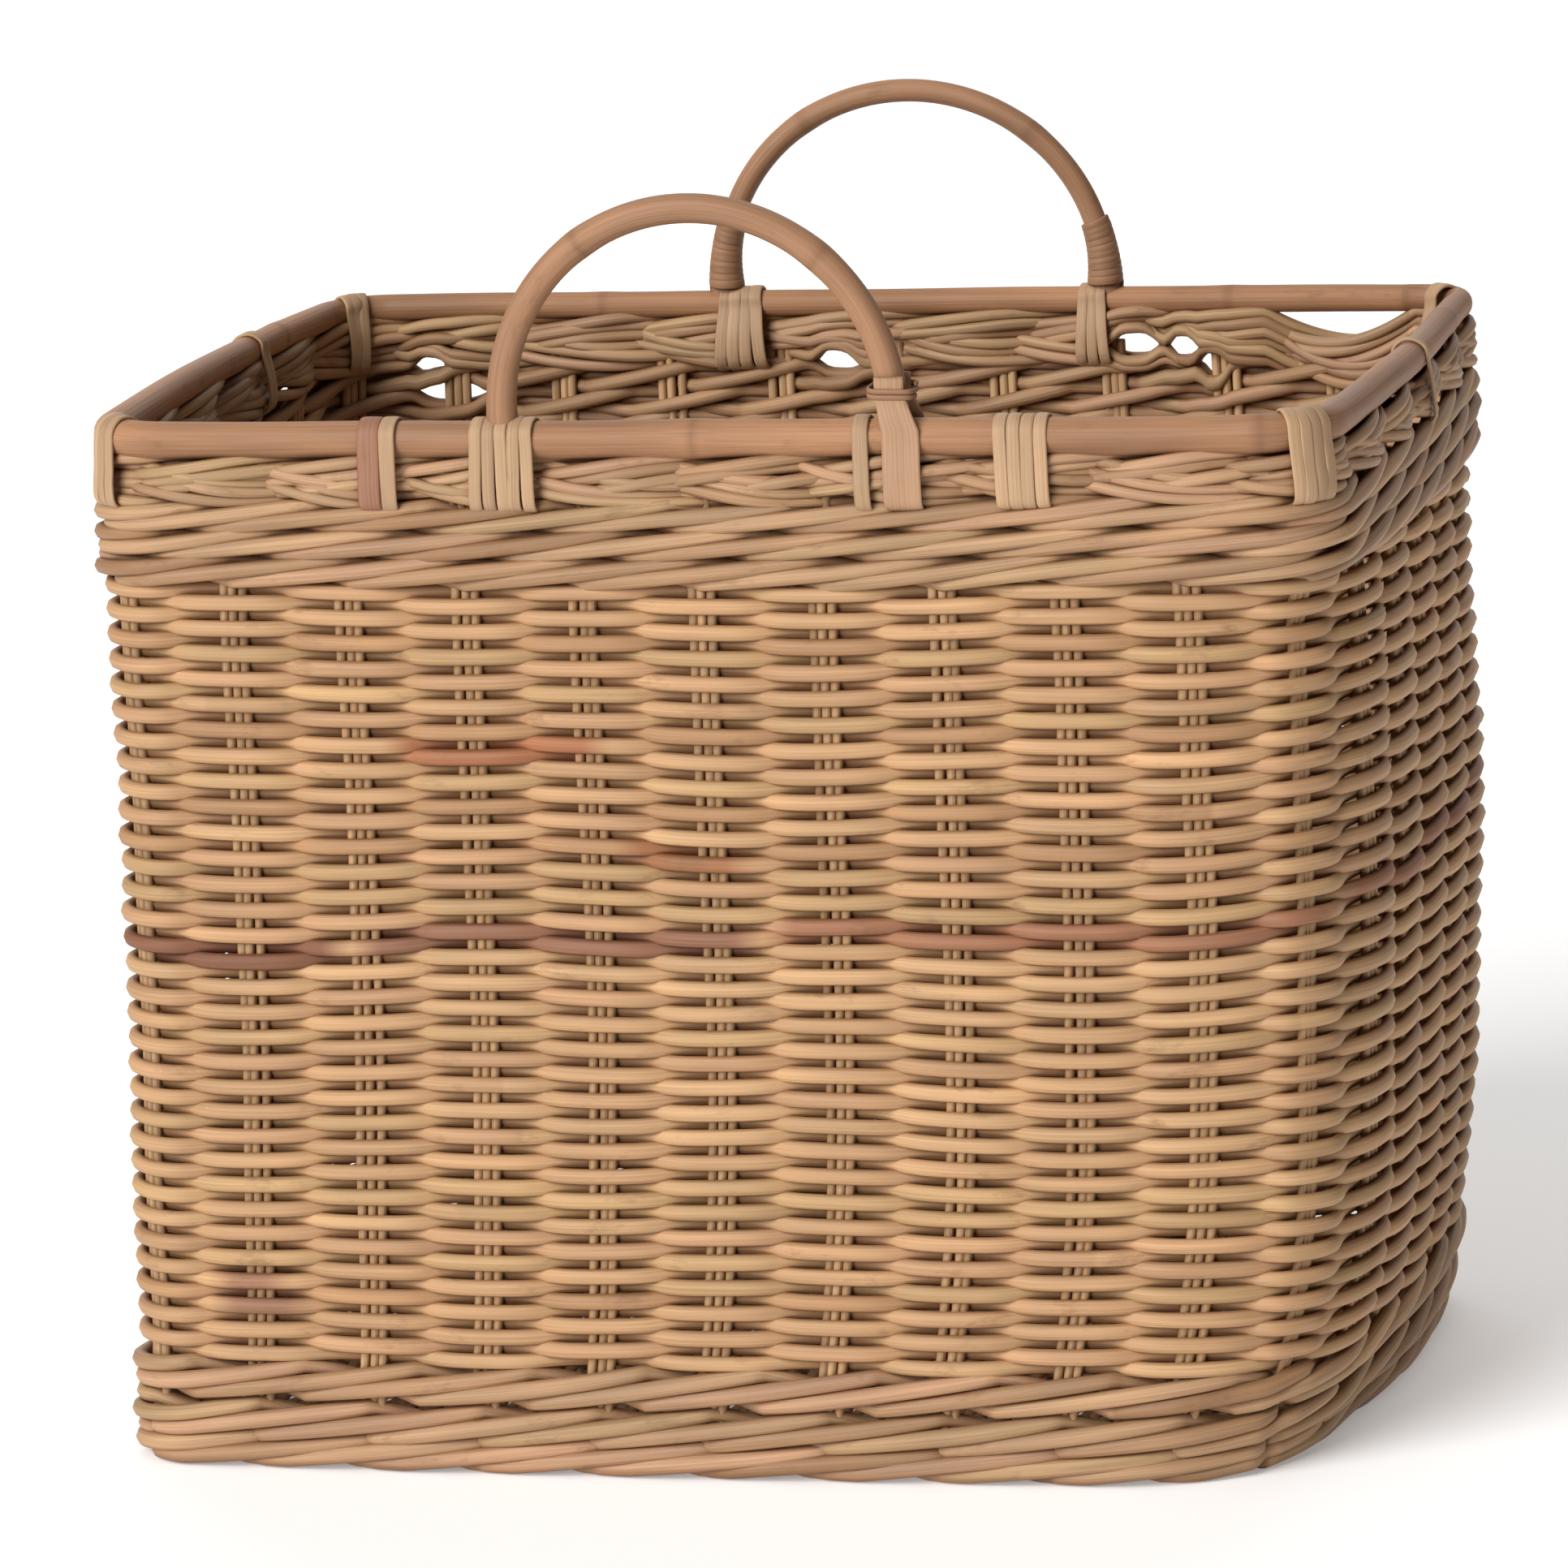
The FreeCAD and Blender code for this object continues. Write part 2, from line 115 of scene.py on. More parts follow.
def side_arc_radius(corner_centre):
    """Radius of a bowed side: tangent to both corner arcs, and SIDE_BOW further out at its middle."""
    reach = CORNER_RADIUS + SIDE_BOW
    return (corner_centre ** 2 + reach ** 2 - CORNER_RADIUS ** 2) / (2 * SIDE_BOW)


def make_arcs():
    """The wall's middle line, anticlockwise from the back right: name, centre, radius, start, sweep."""
    corner_x = HALF_LENGTH - SIDE_BOW - CORNER_RADIUS
    corner_y = HALF_DEPTH - SIDE_BOW - CORNER_RADIUS
    long_radius = side_arc_radius(corner_x)
    short_radius = side_arc_radius(corner_y)
    long_centre = HALF_DEPTH - long_radius
    short_centre = HALF_LENGTH - short_radius
    long_half = math.atan2(corner_x, corner_y - long_centre)
    short_half = math.atan2(corner_y, corner_x - short_centre)
    bend = math.pi / 2 - long_half - short_half
    arcs = []
    for turn, (side, corner) in enumerate((
        ("back", "back_left"), ("left", "front_left"), ("front", "front_right"), ("right", "back_right"),
    )):
        middle = math.pi / 2 * (turn + 1)
        along, across = math.cos(middle), math.sin(middle)
        if side in ("back", "front"):
            half, radius, centre = long_half, long_radius, (0, across * long_centre)
        else:
            half, radius, centre = short_half, short_radius, (along * short_centre, 0)
        arcs.append((side, centre, radius, middle - half, 2 * half))
        sign_x = 1 if "right" in corner else -1
        sign_y = 1 if "back" in corner else -1
        arcs.append((corner, (sign_x * corner_x, sign_y * corner_y), CORNER_RADIUS, middle + half, bend))
    return arcs


ARCS = make_arcs()
ARC_CENTRE = np.array([arc[1] for arc in ARCS])
ARC_RADIUS = np.array([arc[2] for arc in ARCS])
ARC_START = np.array([arc[3] for arc in ARCS])
ARC_END_S = np.cumsum([arc[2] * arc[4] for arc in ARCS])
ARC_START_S = np.concatenate([[0], ARC_END_S[:-1]])
PERIMETER = ARC_END_S[-1]
MIDDLE_S = {arc[0]: (ARC_START_S[i] + ARC_END_S[i]) / 2 for i, arc in enumerate(ARCS)}
CORNERS = [name for name in MIDDLE_S if "_" in name]


def along_side(side, along=0.0):
    """Distance round the wall of a point on a side: its X on a long side, its Y on a short one."""
    direction = -1 if side in ("back", "left") else 1
    return MIDDLE_S[side] + direction * along


def plan(s, offset=0.0):
    """Points in plan at distances s round the wall, and the outward normals there."""
    s = np.asarray(s, float) % PERIMETER
    index = np.minimum(np.searchsorted(ARC_END_S, s, side="right"), len(ARCS) - 1)
    angle = ARC_START[index] + (s - ARC_START_S[index]) / ARC_RADIUS[index]
    normal = np.stack([np.cos(angle), np.sin(angle)], -1)
    point = ARC_CENTRE[index] + normal * (ARC_RADIUS[index] + offset)[..., None]
    return point, normal


def settle(points):
    """The basket's own unevenness: it leans, tapers and bulges, and its rows waver together."""
    x, y, z = points[..., 0], points[..., 1], points[..., 2]
    height = np.clip(z / RIM_HEIGHT, 0, 1)
    wall = np.sin(math.pi * height)
    lean = LEAN_AT_RIM + LEAN_OF_FOOT * (1 - height) ** 4
    widen = BULGE * wall - FOOT_TAPER * (1 - height) ** 6
    waver = np.zeros_like(points)
    for axis, size, lengths, phase in WAVERS:
        waver[..., axis] += size * wall * np.sin(points @ (1 / np.array(lengths)) + phase)
    moved = points.copy()
    left = np.clip(-x / HALF_LENGTH, 0, 1) ** 4 * height ** 3
    bow = LEFT_RIM_BOW * np.clip(1 - (y / HALF_DEPTH) ** 2, 0, 1)
    skew = BACK_LEFT_SKEW * np.clip((1 + y / HALF_DEPTH) / 2, 0, 1) ** 2
    moved[..., 0] += lean + widen * x + waver[..., 0] * x / HALF_LENGTH + (skew - bow) * left
    moved[..., 1] += (0.5 * widen * HALF_DEPTH + waver[..., 1]) * y / HALF_DEPTH
    moved[..., 2] += waver[..., 2]
    return moved


def away_round(s, place):
    """How far a distance round the wall is from a place on it, the shorter way round."""
    return (np.asarray(s, float) - place + PERIMETER / 2) % PERIMETER - PERIMETER / 2


def wall_points(s, offset, z):
    """Points on the wall: distance round it, distance out from its middle line, and height."""
    s, offset, z = np.broadcast_arrays(np.asarray(s, float), offset, z)
    below_border = np.clip((CORNER_PULL_TOP - z) / CORNER_PULL_FADE, 0, 1)
    at_foot = np.clip(1 - z / CORNER_FOOT_HEIGHT, 0, 1)
    below_border = below_border * (1 + CORNER_PULL_AT_FOOT * at_foot ** 2)
    pull = np.zeros(s.shape)
    for corner, depth in CORNER_PULL.items():
        pull += depth * np.exp(-(away_round(s, MIDDLE_S[corner]) / CORNER_PULL_REACH) ** 2)
    tuck = np.exp(-((s - MIDDLE_S["front_right"] - FOOT_TUCK_PLACE) / FOOT_TUCK_REACH) ** 2)
    tuck = FOOT_TUCK * tuck * np.clip(1 - z / FOOT_TUCK_HEIGHT, 0, 1) ** 1.5
    point, normal = plan(s, offset - pull * below_border - tuck)
    return np.concatenate([point, z[..., None]], -1), np.concatenate([normal, 0 * z[..., None]], -1)


def stake_places():
    """Distances round the wall of all the stake groups, in order."""
    places = [MIDDLE_S[corner] for corner in CORNERS]
    for side, (groups, pitch) in SIDE_GROUPS.items():
        places += [along_side(side, pitch * (index - (groups - 1) / 2)) for index in range(groups)]
    return np.sort(np.array(places))


STAKES = stake_places()


def stake_count(s):
    """How many stakes lie behind a point on the way round: whole at a stake, and a fraction between two."""
    s = np.asarray(s, float)
    laps = np.floor(s / PERIMETER)
    places = np.concatenate([[STAKES[-1] - PERIMETER], STAKES, [STAKES[0] + PERIMETER]])
    return np.interp(s - laps * PERIMETER, places, np.arange(-1, len(STAKES) + 1)) + laps * len(STAKES)


# ---------------------------------------------------------------- rods

# Colours of the rods as linear light: how often each comes up, and the colour.
WEAVER_COLOURS = [
    (6, (0.462, 0.272, 0.136)),
    (3, (0.480, 0.290, 0.146)),
    (3, (0.455, 0.262, 0.134)),
    (2, (0.445, 0.274, 0.130)),
    (1, (0.395, 0.220, 0.106)),
]
STROKE_COLOURS = [
    (4, (0.395, 0.238, 0.126)),
    (3, (0.350, 0.202, 0.104)),
    (2, (0.385, 0.240, 0.120)),
    (2, (0.400, 0.230, 0.128)),
    (1, (0.300, 0.164, 0.080)),
]
STAKE_COLOURS = [(2, (0.50, 0.315, 0.165)), (1, (0.45, 0.275, 0.140))]
CANE_COLOUR = (0.316, 0.158, 0.078)
HANDLE_COLOUR = (0.318, 0.165, 0.086)
BINDING_COLOUR = (0.420, 0.265, 0.150)
TONGUE_COLOUR = (0.400, 0.235, 0.135)
RED_BINDING_COLOUR = (0.255, 0.120, 0.070)
COLLAR_COLOUR = (0.270, 0.140, 0.075)
NODE_COLOUR = (0.22, 0.105, 0.050)

# Darker and redder stretches of weaver: side, from and to along it, height, colour.
STAINED = [
    ("front", -262, -150, 215, (0.20, 0.085, 0.045)),
    ("front", -150, 20, 221, (0.25, 0.115, 0.065)),
    ("front", 20, 262, 228, (0.30, 0.135, 0.070)),
    ("front", -133, -38, 303, (0.34, 0.135, 0.060)),
    ("front", -40, 18, 259, (0.30, 0.130, 0.055)),
    ("front", -215, -170, 72, (0.28, 0.140, 0.080)),
    ("front", -215, -178, 82, (0.30, 0.150, 0.085)),
    ("left", -60, 90, 180, (0.33, 0.150, 0.075)),
    ("back", -150, 40, 262, (0.30, 0.130, 0.065)),
    ("back", 60, 210, 140, (0.33, 0.150, 0.075)),
    ("right", -130, 150, 232, (0.30, 0.130, 0.065)),
]


STAIN_REACH = 5.2            # a stained stretch colours the rows this near its height
STAIN_FADE = 12.0            # along the rod, at each end of the stretch

SHADES = (0.92, 1.07)        # each rod's own lightness
WEAVER_LENGTHS = (380, 1100)
FIBRE_SHIFTS = (0, 9000)     # where each rod starts in the pattern of fibres
THICKNESS_WAVES = (5, 11, 23)


def pick(colours, rng):
    """One of the colours, as often as its number says, in a shade of its own."""
    weights = np.array([weight for weight, _ in colours], float)
    chosen = np.array(colours[rng.choice(len(colours), p=weights / weights.sum())][1])
    return chosen * rng.uniform(*SHADES)


def unit(vectors):
    """The vectors, each made one long."""
    return vectors / np.maximum(np.linalg.norm(vectors, axis=-1, keepdims=True), 1e-9)


class Bundle:
    """Rods gathered into one mesh. Each point also keeps its place in its own rod, and its colour."""

    def __init__(self):
        self.points, self.fibres, self.tints, self.quads, self.caps = [], [], [], [], []
        self.count = 0

    def rod(self, centre, across, up, width, height, tint, closed=False, sides=8, shift=0.0, flat=1.0):
        """A rod along centre points, its oval section drawn on the directions across and up.

        flat below 1 squares the oval off, as for a split strand.
        """
        centre, across, up = (np.asarray(a, float) for a in (centre, across, up))
        stations = len(centre)
        across, up = np.broadcast_to(across, centre.shape), np.broadcast_to(up, centre.shape)
        width = np.broadcast_to(width, stations)[:, None]
        height = np.broadcast_to(height, stations)[:, None]
        angle = np.arange(sides) * 2 * math.pi / sides
        cos, sin = np.cos(angle), np.sin(angle)
        local_x = width * np.sign(cos) * np.abs(cos) ** flat
        local_y = height * np.sign(sin) * np.abs(sin) ** flat
        points = centre[:, None] + across[:, None] * local_x[..., None] + up[:, None] * local_y[..., None]
        steps = np.linalg.norm(np.diff(centre, axis=0), axis=1)
        run = np.concatenate([[0], np.cumsum(steps)]) + shift
        fibre = np.stack([np.broadcast_to(run[:, None], local_x.shape), local_x, local_y], -1)
        tint = np.broadcast_to(np.asarray(tint, float), (stations, 3))
        self.points.append(points.reshape(-1, 3))
        self.fibres.append(fibre.reshape(-1, 3))
        self.tints.append(np.repeat(tint, sides, 0))
        spans = np.arange(stations if closed else stations - 1)
        i, j = np.meshgrid(spans, np.arange(sides), indexing="ij")
        here, there = i * sides, (i + 1) % stations * sides
        after = (j + 1) % sides
        quads = np.stack([here + j, there + j, there + after, here + after], -1).reshape(-1, 4)
        heading = centre[1] - centre[0]
        if np.dot(np.cross(across[0], up[0]), heading) > 0:
            quads = quads[:, ::-1]
        self.quads.append(quads + self.count)
        if not closed:
            first = np.arange(sides) + self.count
            self.caps += [first, first + (stations - 1) * sides]
        self.count += stations * sides

    def make(self, name, material, slot, *nodes):
        """The mesh as a piece on the basket's one body, standing for the CAD nodes it replaces."""
        points = np.concatenate(self.points) * MM
        quads = np.concatenate(self.quads)
        corners = [quads.ravel()] + self.caps
        sizes = np.concatenate([np.full(len(quads), 4), [len(cap) for cap in self.caps]]).astype(int)
        corners = np.concatenate(corners).astype(int)
        mesh = bpy.data.meshes.new(name)
        mesh.vertices.add(len(points))
        mesh.vertices.foreach_set("co", points.ravel())
        mesh.loops.add(len(corners))
        mesh.loops.foreach_set("vertex_index", corners)
        mesh.polygons.add(len(sizes))
        mesh.polygons.foreach_set("loop_start", np.concatenate([[0], np.cumsum(sizes)[:-1]]))
        mesh.polygons.foreach_set("loop_total", sizes)
        mesh.update(calc_edges=True)
        mesh.validate()
        mesh.polygons.foreach_set("use_smooth", np.ones(len(mesh.polygons), bool))
        fibre = mesh.attributes.new("fibre", "FLOAT_VECTOR", "POINT")
        fibre.data.foreach_set("vector", (np.concatenate(self.fibres) * MM).ravel())
        tint = mesh.attributes.new("tint", "FLOAT_COLOR", "POINT")
        tints = np.concatenate(self.tints)
        tint.data.foreach_set("color", np.concatenate([tints, np.ones((len(tints), 1))], 1).ravel())
        mesh.materials.append(material)
        piece = bpy.data.objects.new(name, mesh)
        bpy.context.scene.collection.objects.link(piece)
        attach(piece, "root")
        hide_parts(*nodes)
        return piece


def ripple(s, rng, size, waves=(3, 7, 13)):
    """Gentle unevenness round the wall that meets itself after one lap."""
    total = np.zeros_like(s)
    for wave in waves:
        phase = rng.uniform(0, 2 * math.pi)
        total += np.sin(2 * math.pi * wave * s / PERIMETER + phase) * rng.uniform(0.4, 1)
    return total * size / len(waves)


def patchwork(s, rng, colours):
    """Colours along one row: weavers of different lengths, each joined on where the last one ends."""
    tint = np.zeros((len(s), 3))
    start = 0.0
    while start < PERIMETER:
        end = start + rng.uniform(*WEAVER_LENGTHS)
        tint[(s >= start) & (s < end)] = pick(colours, rng)
        start = end
    return tint


def stain(tint, s, z):
    """Recolours the stained stretches that lie in the row at height z."""
    for side, start, end, height, colour in STAINED:
        if abs(z - height) <= STAIN_REACH:
            ends = sorted((along_side(side, start), along_side(side, end)))
            fade = np.clip(np.minimum(s - ends[0], ends[1] - s) / STAIN_FADE, 0, 1)[:, None]
            tint = tint * (1 - fade) + np.array(colour) * fade
    return tint


# ---------------------------------------------------------------- materials

# Painted shade: an ambient-occlusion mask darkens the rods' colour towards CREVICE_SHADE where other rods
# crowd near, as in crevices and gaps.
CREVICE_REACH = 0.012        # metres: how near other rods darken a crevice
CREVICE_SHADE = (0.42, 0.27, 0.16, 1)
SPOT_COLOUR = (0.20, 0.095, 0.040, 1)

# Features per metre along a rod and across it.
FIBRE_SCALE = (14.0, 1300.0)
PATCH_SCALE = (11.0, 60.0)
SPOT_SCALE = (34.0, 90.0)
NOISE_RANGE = (0.3, 0.7)     # most of the noise lies between these
SPOT_RANGE = (0.60, 0.74)    # only the noise's peaks make spots


def add(nodes, kind, **values):
    """A shader node with some of its settings."""
    node = nodes.new(kind)
    for name, value in values.items():
        setattr(node, name, value)
    return node


def cane_material(name, roughness, streak, blotch, bump, spotting, painted_shade, coat=0.0):
    """Peeled cane or rod: fine fibres along it, slow changes of colour, small stains, and painted shade in
    its crevices.
    """
    material = bpy.data.materials.new(name)
    material.use_nodes = True
    nodes, links = material.node_tree.nodes, material.node_tree.links
    shader = nodes["Principled BSDF"]
    shader.inputs["Coat Weight"].default_value = coat
    shader.inputs["Coat Roughness"].default_value = 0.35
    shader.inputs["Specular IOR Level"].default_value = 0.35
    fibre = add(nodes, "ShaderNodeAttribute", attribute_name="fibre")
    tint = add(nodes, "ShaderNodeAttribute", attribute_name="tint")

    def noise(scale, detail, rough=0.55):
        """Noise in the rod's own space."""
        stretch = add(nodes, "ShaderNodeMapping")
        stretch.inputs["Scale"].default_value = (scale[0], scale[1], scale[1])
        links.new(fibre.outputs["Vector"], stretch.inputs["Vector"])
        texture = add(nodes, "ShaderNodeTexNoise")
        texture.inputs["Scale"].default_value = 1.0
        texture.inputs["Detail"].default_value = detail
        texture.inputs["Roughness"].default_value = rough
        links.new(stretch.outputs["Vector"], texture.inputs["Vector"])
        return texture.outputs["Fac"]

    def ramp(source, low, high, dark, light):
        """Grey between two levels, as the source goes from low to high."""
        mapped = add(nodes, "ShaderNodeMapRange")
        for socket, value in (("From Min", low), ("From Max", high), ("To Min", dark), ("To Max", light)):
            mapped.inputs[socket].default_value = value
        links.new(source, mapped.inputs["Value"])
        return mapped.outputs["Result"]

    def multiply(colour, factor):
        """The colour times the factor."""
        scaled = add(nodes, "ShaderNodeVectorMath", operation="SCALE")
        links.new(colour, scaled.inputs[0])
        links.new(factor, scaled.inputs["Scale"])
        return scaled.outputs["Vector"]

    fibres = noise(FIBRE_SCALE, 3.0)
    patches = noise(PATCH_SCALE, 2.0)
    colour = multiply(tint.outputs["Color"], ramp(fibres, *NOISE_RANGE, 1 - streak, 1 + streak))
    colour = multiply(colour, ramp(patches, *NOISE_RANGE, 1 - blotch, 1 + blotch))
    spots = noise(SPOT_SCALE, 4.0, 0.7)
    mix = add(nodes, "ShaderNodeMix", data_type="RGBA")
    links.new(ramp(spots, *SPOT_RANGE, 0.0, spotting), mix.inputs["Factor"])
    links.new(colour, mix.inputs[6])
    mix.inputs[7].default_value = SPOT_COLOUR
    # Painted shade: ambient occlusion darkens the base colour in crevices, by the material's painted shade
    # amount.
    crevice = add(nodes, "ShaderNodeAmbientOcclusion", samples=6)
    crevice.inputs["Distance"].default_value = CREVICE_REACH
    shade = add(nodes, "ShaderNodeMix", data_type="RGBA", blend_type="MULTIPLY")
    links.new(ramp(crevice.outputs["AO"], 0.15, 0.75, painted_shade, 0.0), shade.inputs["Factor"])
    links.new(mix.outputs[2], shade.inputs[6])
    shade.inputs[7].default_value = CREVICE_SHADE
    links.new(shade.outputs[2], shader.inputs["Base Color"])
    links.new(ramp(patches, *NOISE_RANGE, roughness - 0.08, roughness + 0.08), shader.inputs["Roughness"])
    relief = add(nodes, "ShaderNodeBump")
    relief.inputs["Strength"].default_value = bump
    relief.inputs["Distance"].default_value = 0.4 * MM
    links.new(fibres, relief.inputs["Height"])
    links.new(relief.outputs["Normal"], shader.inputs["Normal"])
    return material


WEAVER = cane_material(
    "weaver_cane", roughness=0.60, streak=0.16, blotch=0.14, bump=0.55, spotting=0.55, painted_shade=0.75)
STAKE = cane_material(
    "stake_cane", roughness=0.62, streak=0.18, blotch=0.16, bump=0.5, spotting=0.6, painted_shade=0.45)
STROKE = cane_material(
    "border_cane", roughness=0.58, streak=0.18, blotch=0.18, bump=0.6, spotting=0.6, painted_shade=0.75)
RIM = cane_material(
    "rim_cane_skin", roughness=0.62, streak=0.15, blotch=0.20, bump=0.45, spotting=0.6, painted_shade=0.3,
    coat=0.04)
HANDLE = cane_material(
    "handle_cane_skin", roughness=0.60, streak=0.16, blotch=0.20, bump=0.45, spotting=0.6, painted_shade=0.2,
    coat=0.04)
BINDING = cane_material(
    "binding_cane_skin", roughness=0.60, streak=0.18, blotch=0.12, bump=0.5, spotting=0.35, painted_shade=0.35)


# ---------------------------------------------------------------- wall

ROWS = 62
ROW_PITCH = (WALL_TOP - WALL_BOTTOM) / ROWS
ROW_WIDTH = 2.9              # half the weaver's size through the wall
ROW_HEIGHT = 3.42            # half its size along the stakes: neighbours are pressed into each other
WEAVE_SWING = 3.7            # how far a weaver's middle passes in front of and behind the stakes
WEAVE_SHARPNESS = 1.5        # how quickly it passes between them
ROWS_PER_PIECE = 13
ROW_STEP = 2.6               # between the stations along a rod
UP = np.array([0.0, 0.0, 1.0])

STAKE_BOTTOM = 4.0
STAKE_COVER = 9.0            # of border over the stakes' tops
STAKE_STATIONS = 34


def weave_wave(count):
    """+1 in front of an even stake and -1 behind an odd one, passing quickly between them."""
    return np.tanh(WEAVE_SHARPNESS * np.cos(math.pi * count)) / math.tanh(WEAVE_SHARPNESS)


def make_wall():
    """The rows of round weavers, each one rod round the whole basket, over and under the stake groups."""
    rng = np.random.default_rng(SEED)
    s = np.linspace(0, PERIMETER, int(PERIMETER / ROW_STEP), endpoint=False)
    count = stake_count(s)
    walls = [side + "_wall_weave" for side in SIDE_GROUPS]
    bundle = Bundle()
    for row in range(ROWS):
        height = WALL_BOTTOM + ROW_PITCH * (row + 0.5)
        z = height + ripple(s, rng, 0.35)
        swing = WEAVE_SWING * (1 + ripple(s, rng, 0.12))
        offset = swing * weave_wave(count + row) + ripple(s, rng, 0.5)
        points, normal = wall_points(s, offset, z)
        size = 1 + ripple(s, rng, 0.06, THICKNESS_WAVES) + rng.uniform(-0.03, 0.03)
        tint = stain(patchwork(s, rng, WEAVER_COLOURS), s, height)
        bundle.rod(settle(points), normal, UP, ROW_WIDTH * size, ROW_HEIGHT * size, tint,
                   closed=True, shift=rng.uniform(*FIBRE_SHIFTS))
        if (row + 1) % ROWS_PER_PIECE == 0 or row == ROWS - 1:
            bundle.make("wall_rows_%d" % (row // ROWS_PER_PIECE + 1), WEAVER, "weaver", *walls)
            bundle = Bundle()


def make_stakes():
    """The groups of upright rods."""
    rng = np.random.default_rng(SEED + 1)
    bundle = Bundle()
    for s in STAKES:
        z = np.linspace(STAKE_BOTTOM, BORDER_TOP - STAKE_COVER - border_dip(s), STAKE_STATIONS)
        for rod in range(STAKE_RODS):
            place = s + STAKE_PITCH * (rod - (STAKE_RODS - 1) / 2) + rng.uniform(-0.25, 0.25)
            sway = 0.35 * np.sin(z / rng.uniform(30, 60) + rng.uniform(0, 6))
            points, normal = wall_points(place + sway, rng.uniform(-0.3, 0.3), z)
            tangent = np.cross(normal, UP)
            bundle.rod(settle(points), normal, tangent, STAKE_RADIUS, STAKE_RADIUS,
                       pick(STAKE_COLOURS, rng), shift=rng.uniform(*FIBRE_SHIFTS))
    nodes = [side + "_stakes" for side in (*SIDE_GROUPS, "corner")]
    bundle.make("stakes", STAKE, "stake_rod", *nodes)


WALE_RODS = 3
WALE_SHIFT = 1.4             # stakes from where one row's strokes start to where the next row's do
FLOOR_GAP = 0.3              # at least this much under the foot's rods


def make_wale(node, bottom, top, levels, offset, radius, slope, swing, rng):
    """Rows of waling: each row is three rods, and each rod passes before two stakes and behind one.

    So two thirds of a stroke lie outside the stakes. It rises there and falls behind the third; slope is
    how steeply. A row under the border opens at the border's gaps, and one at the foot stays off the floor.
    """
    s = np.linspace(0, PERIMETER, int(PERIMETER / ROW_STEP))
    rise = (top - bottom) / levels
    bundle = Bundle()
    for level in range(levels):
        for rod in range(WALE_RODS):
            strokes = (stake_count(s) - rod - WALE_SHIFT * level) / WALE_RODS
            phase = strokes % 1
            front = phase < 2 / 3
            climb = np.where(front, phase * 1.5, (1 - phase) * 3)
            z = bottom + rise * (level + 0.5) + slope * (rise - 2 * radius * 0.55) * (climb - 0.5)
            outside = np.sin(math.pi * np.where(front, phase * 1.5, 0)) ** 0.6
            inside = np.sin(math.pi * np.where(front, 0, phase * 3 - 2)) ** 0.7
            out = offset + swing * np.where(front, outside, -inside) + ripple(s, rng, 0.7)
            z = z + ripple(s, rng, 0.9)
            size = 1 + ripple(s, rng, 0.10, THICKNESS_WAVES)
            z = np.maximum(part_rods(s, z) if bottom >= WALL_TOP else z, radius * size + FLOOR_GAP)
            points, normal = wall_points(s, out, z)
            stroke = np.floor(strokes).astype(int)
            shades = np.array([pick(STROKE_COLOURS, rng) for _ in range(stroke.max() - stroke.min() + 1)])
            tint = shades[stroke - stroke.min()]
            bundle.rod(settle(points), normal, UP, radius * size, radius * size, tint,
                       shift=rng.uniform(*FIBRE_SHIFTS))
    bundle.make(node + "_rods", STROKE, "border_rod", node)


def make_wales():
    """The waling under the border, the waling above the foot, and the foot's rolled border."""
    rng = np.random.default_rng(SEED + 2)
    make_wale("upper_wale", bottom=WALL_TOP + 0.5, top=PLAIT_BOTTOM + 1.5, levels=3,
              offset=2.0, radius=3.3, slope=1.3, swing=4.6, rng=rng)
    make_wale("foot_wale", bottom=FOOT_TOP - 2, top=WALL_BOTTOM, levels=2,
              offset=1.0, radius=3.7, slope=1, swing=4.4, rng=rng)
    make_wale("foot_border", bottom=0.6, top=FOOT_TOP + 1, levels=1,
              offset=0.5, radius=3.8, slope=1, swing=3.6, rng=rng)


# Plaited border: strands of rods that cross one another like a braid.
PLAIT_STRANDS = 4
PLAIT_RODS = 3
PLAIT_RADIUS = 2.6
PLAIT_SPREAD = 3.9
PLAIT_LAPS = 7               # crossings of each strand round the basket
PLAIT_RISE = 5.2             # how far a strand goes up and down
PLAIT_SWING = 5.6            # how far it goes in and out
PLAIT_OFFSET = 1.0
PLAIT_LIFT = 0.8

# Where the border dips under the rim, along X on the back, and how far.
DIP_X = (172.0, 222.0)
DIP_DEPTH = 11.0
DIP_REACH = 0.64             # how far it runs each way from its middle, against its length

# Small gaps where the back's border rods have parted: X, height, half length, half height.
PARTINGS = [
    (-206, 399.5, 8, 4.5), (-197, 389.0, 15, 4.0), (-23, 402.5, 9, 4.5),
    (107, 408.5, 9, 4.5), (128, 407.5, 6, 4.0), (141, 398.0, 6, 4.5),
]
PARTING_FADE = 7.0


def border_dip(s):
    """How far the border's rods dip under the rim at a distance round the wall."""
    start, end = along_side("back", DIP_X[1]), along_side("back", DIP_X[0])
    away = np.abs(away_round(s, (start + end) / 2))
    return DIP_DEPTH * np.clip(1 - (away / ((end - start) * DIP_REACH)) ** 2, 0, 1)


def part_rods(s, z):
    """Pushes the border's rods up or down round its small gaps."""
    for x, height, half_length, half_height in PARTINGS:
        near = np.exp(-((s - along_side("back", x)) / half_length) ** 4)
        at_gap = z[np.argmin(np.abs(s - along_side("back", x)))]
        side = 1.0 if at_gap >= height else -1.0
        push = (half_height + PLAIT_RADIUS) * np.exp(-np.abs(z - height) / PARTING_FADE)
        z = z + side * push * near
    return z


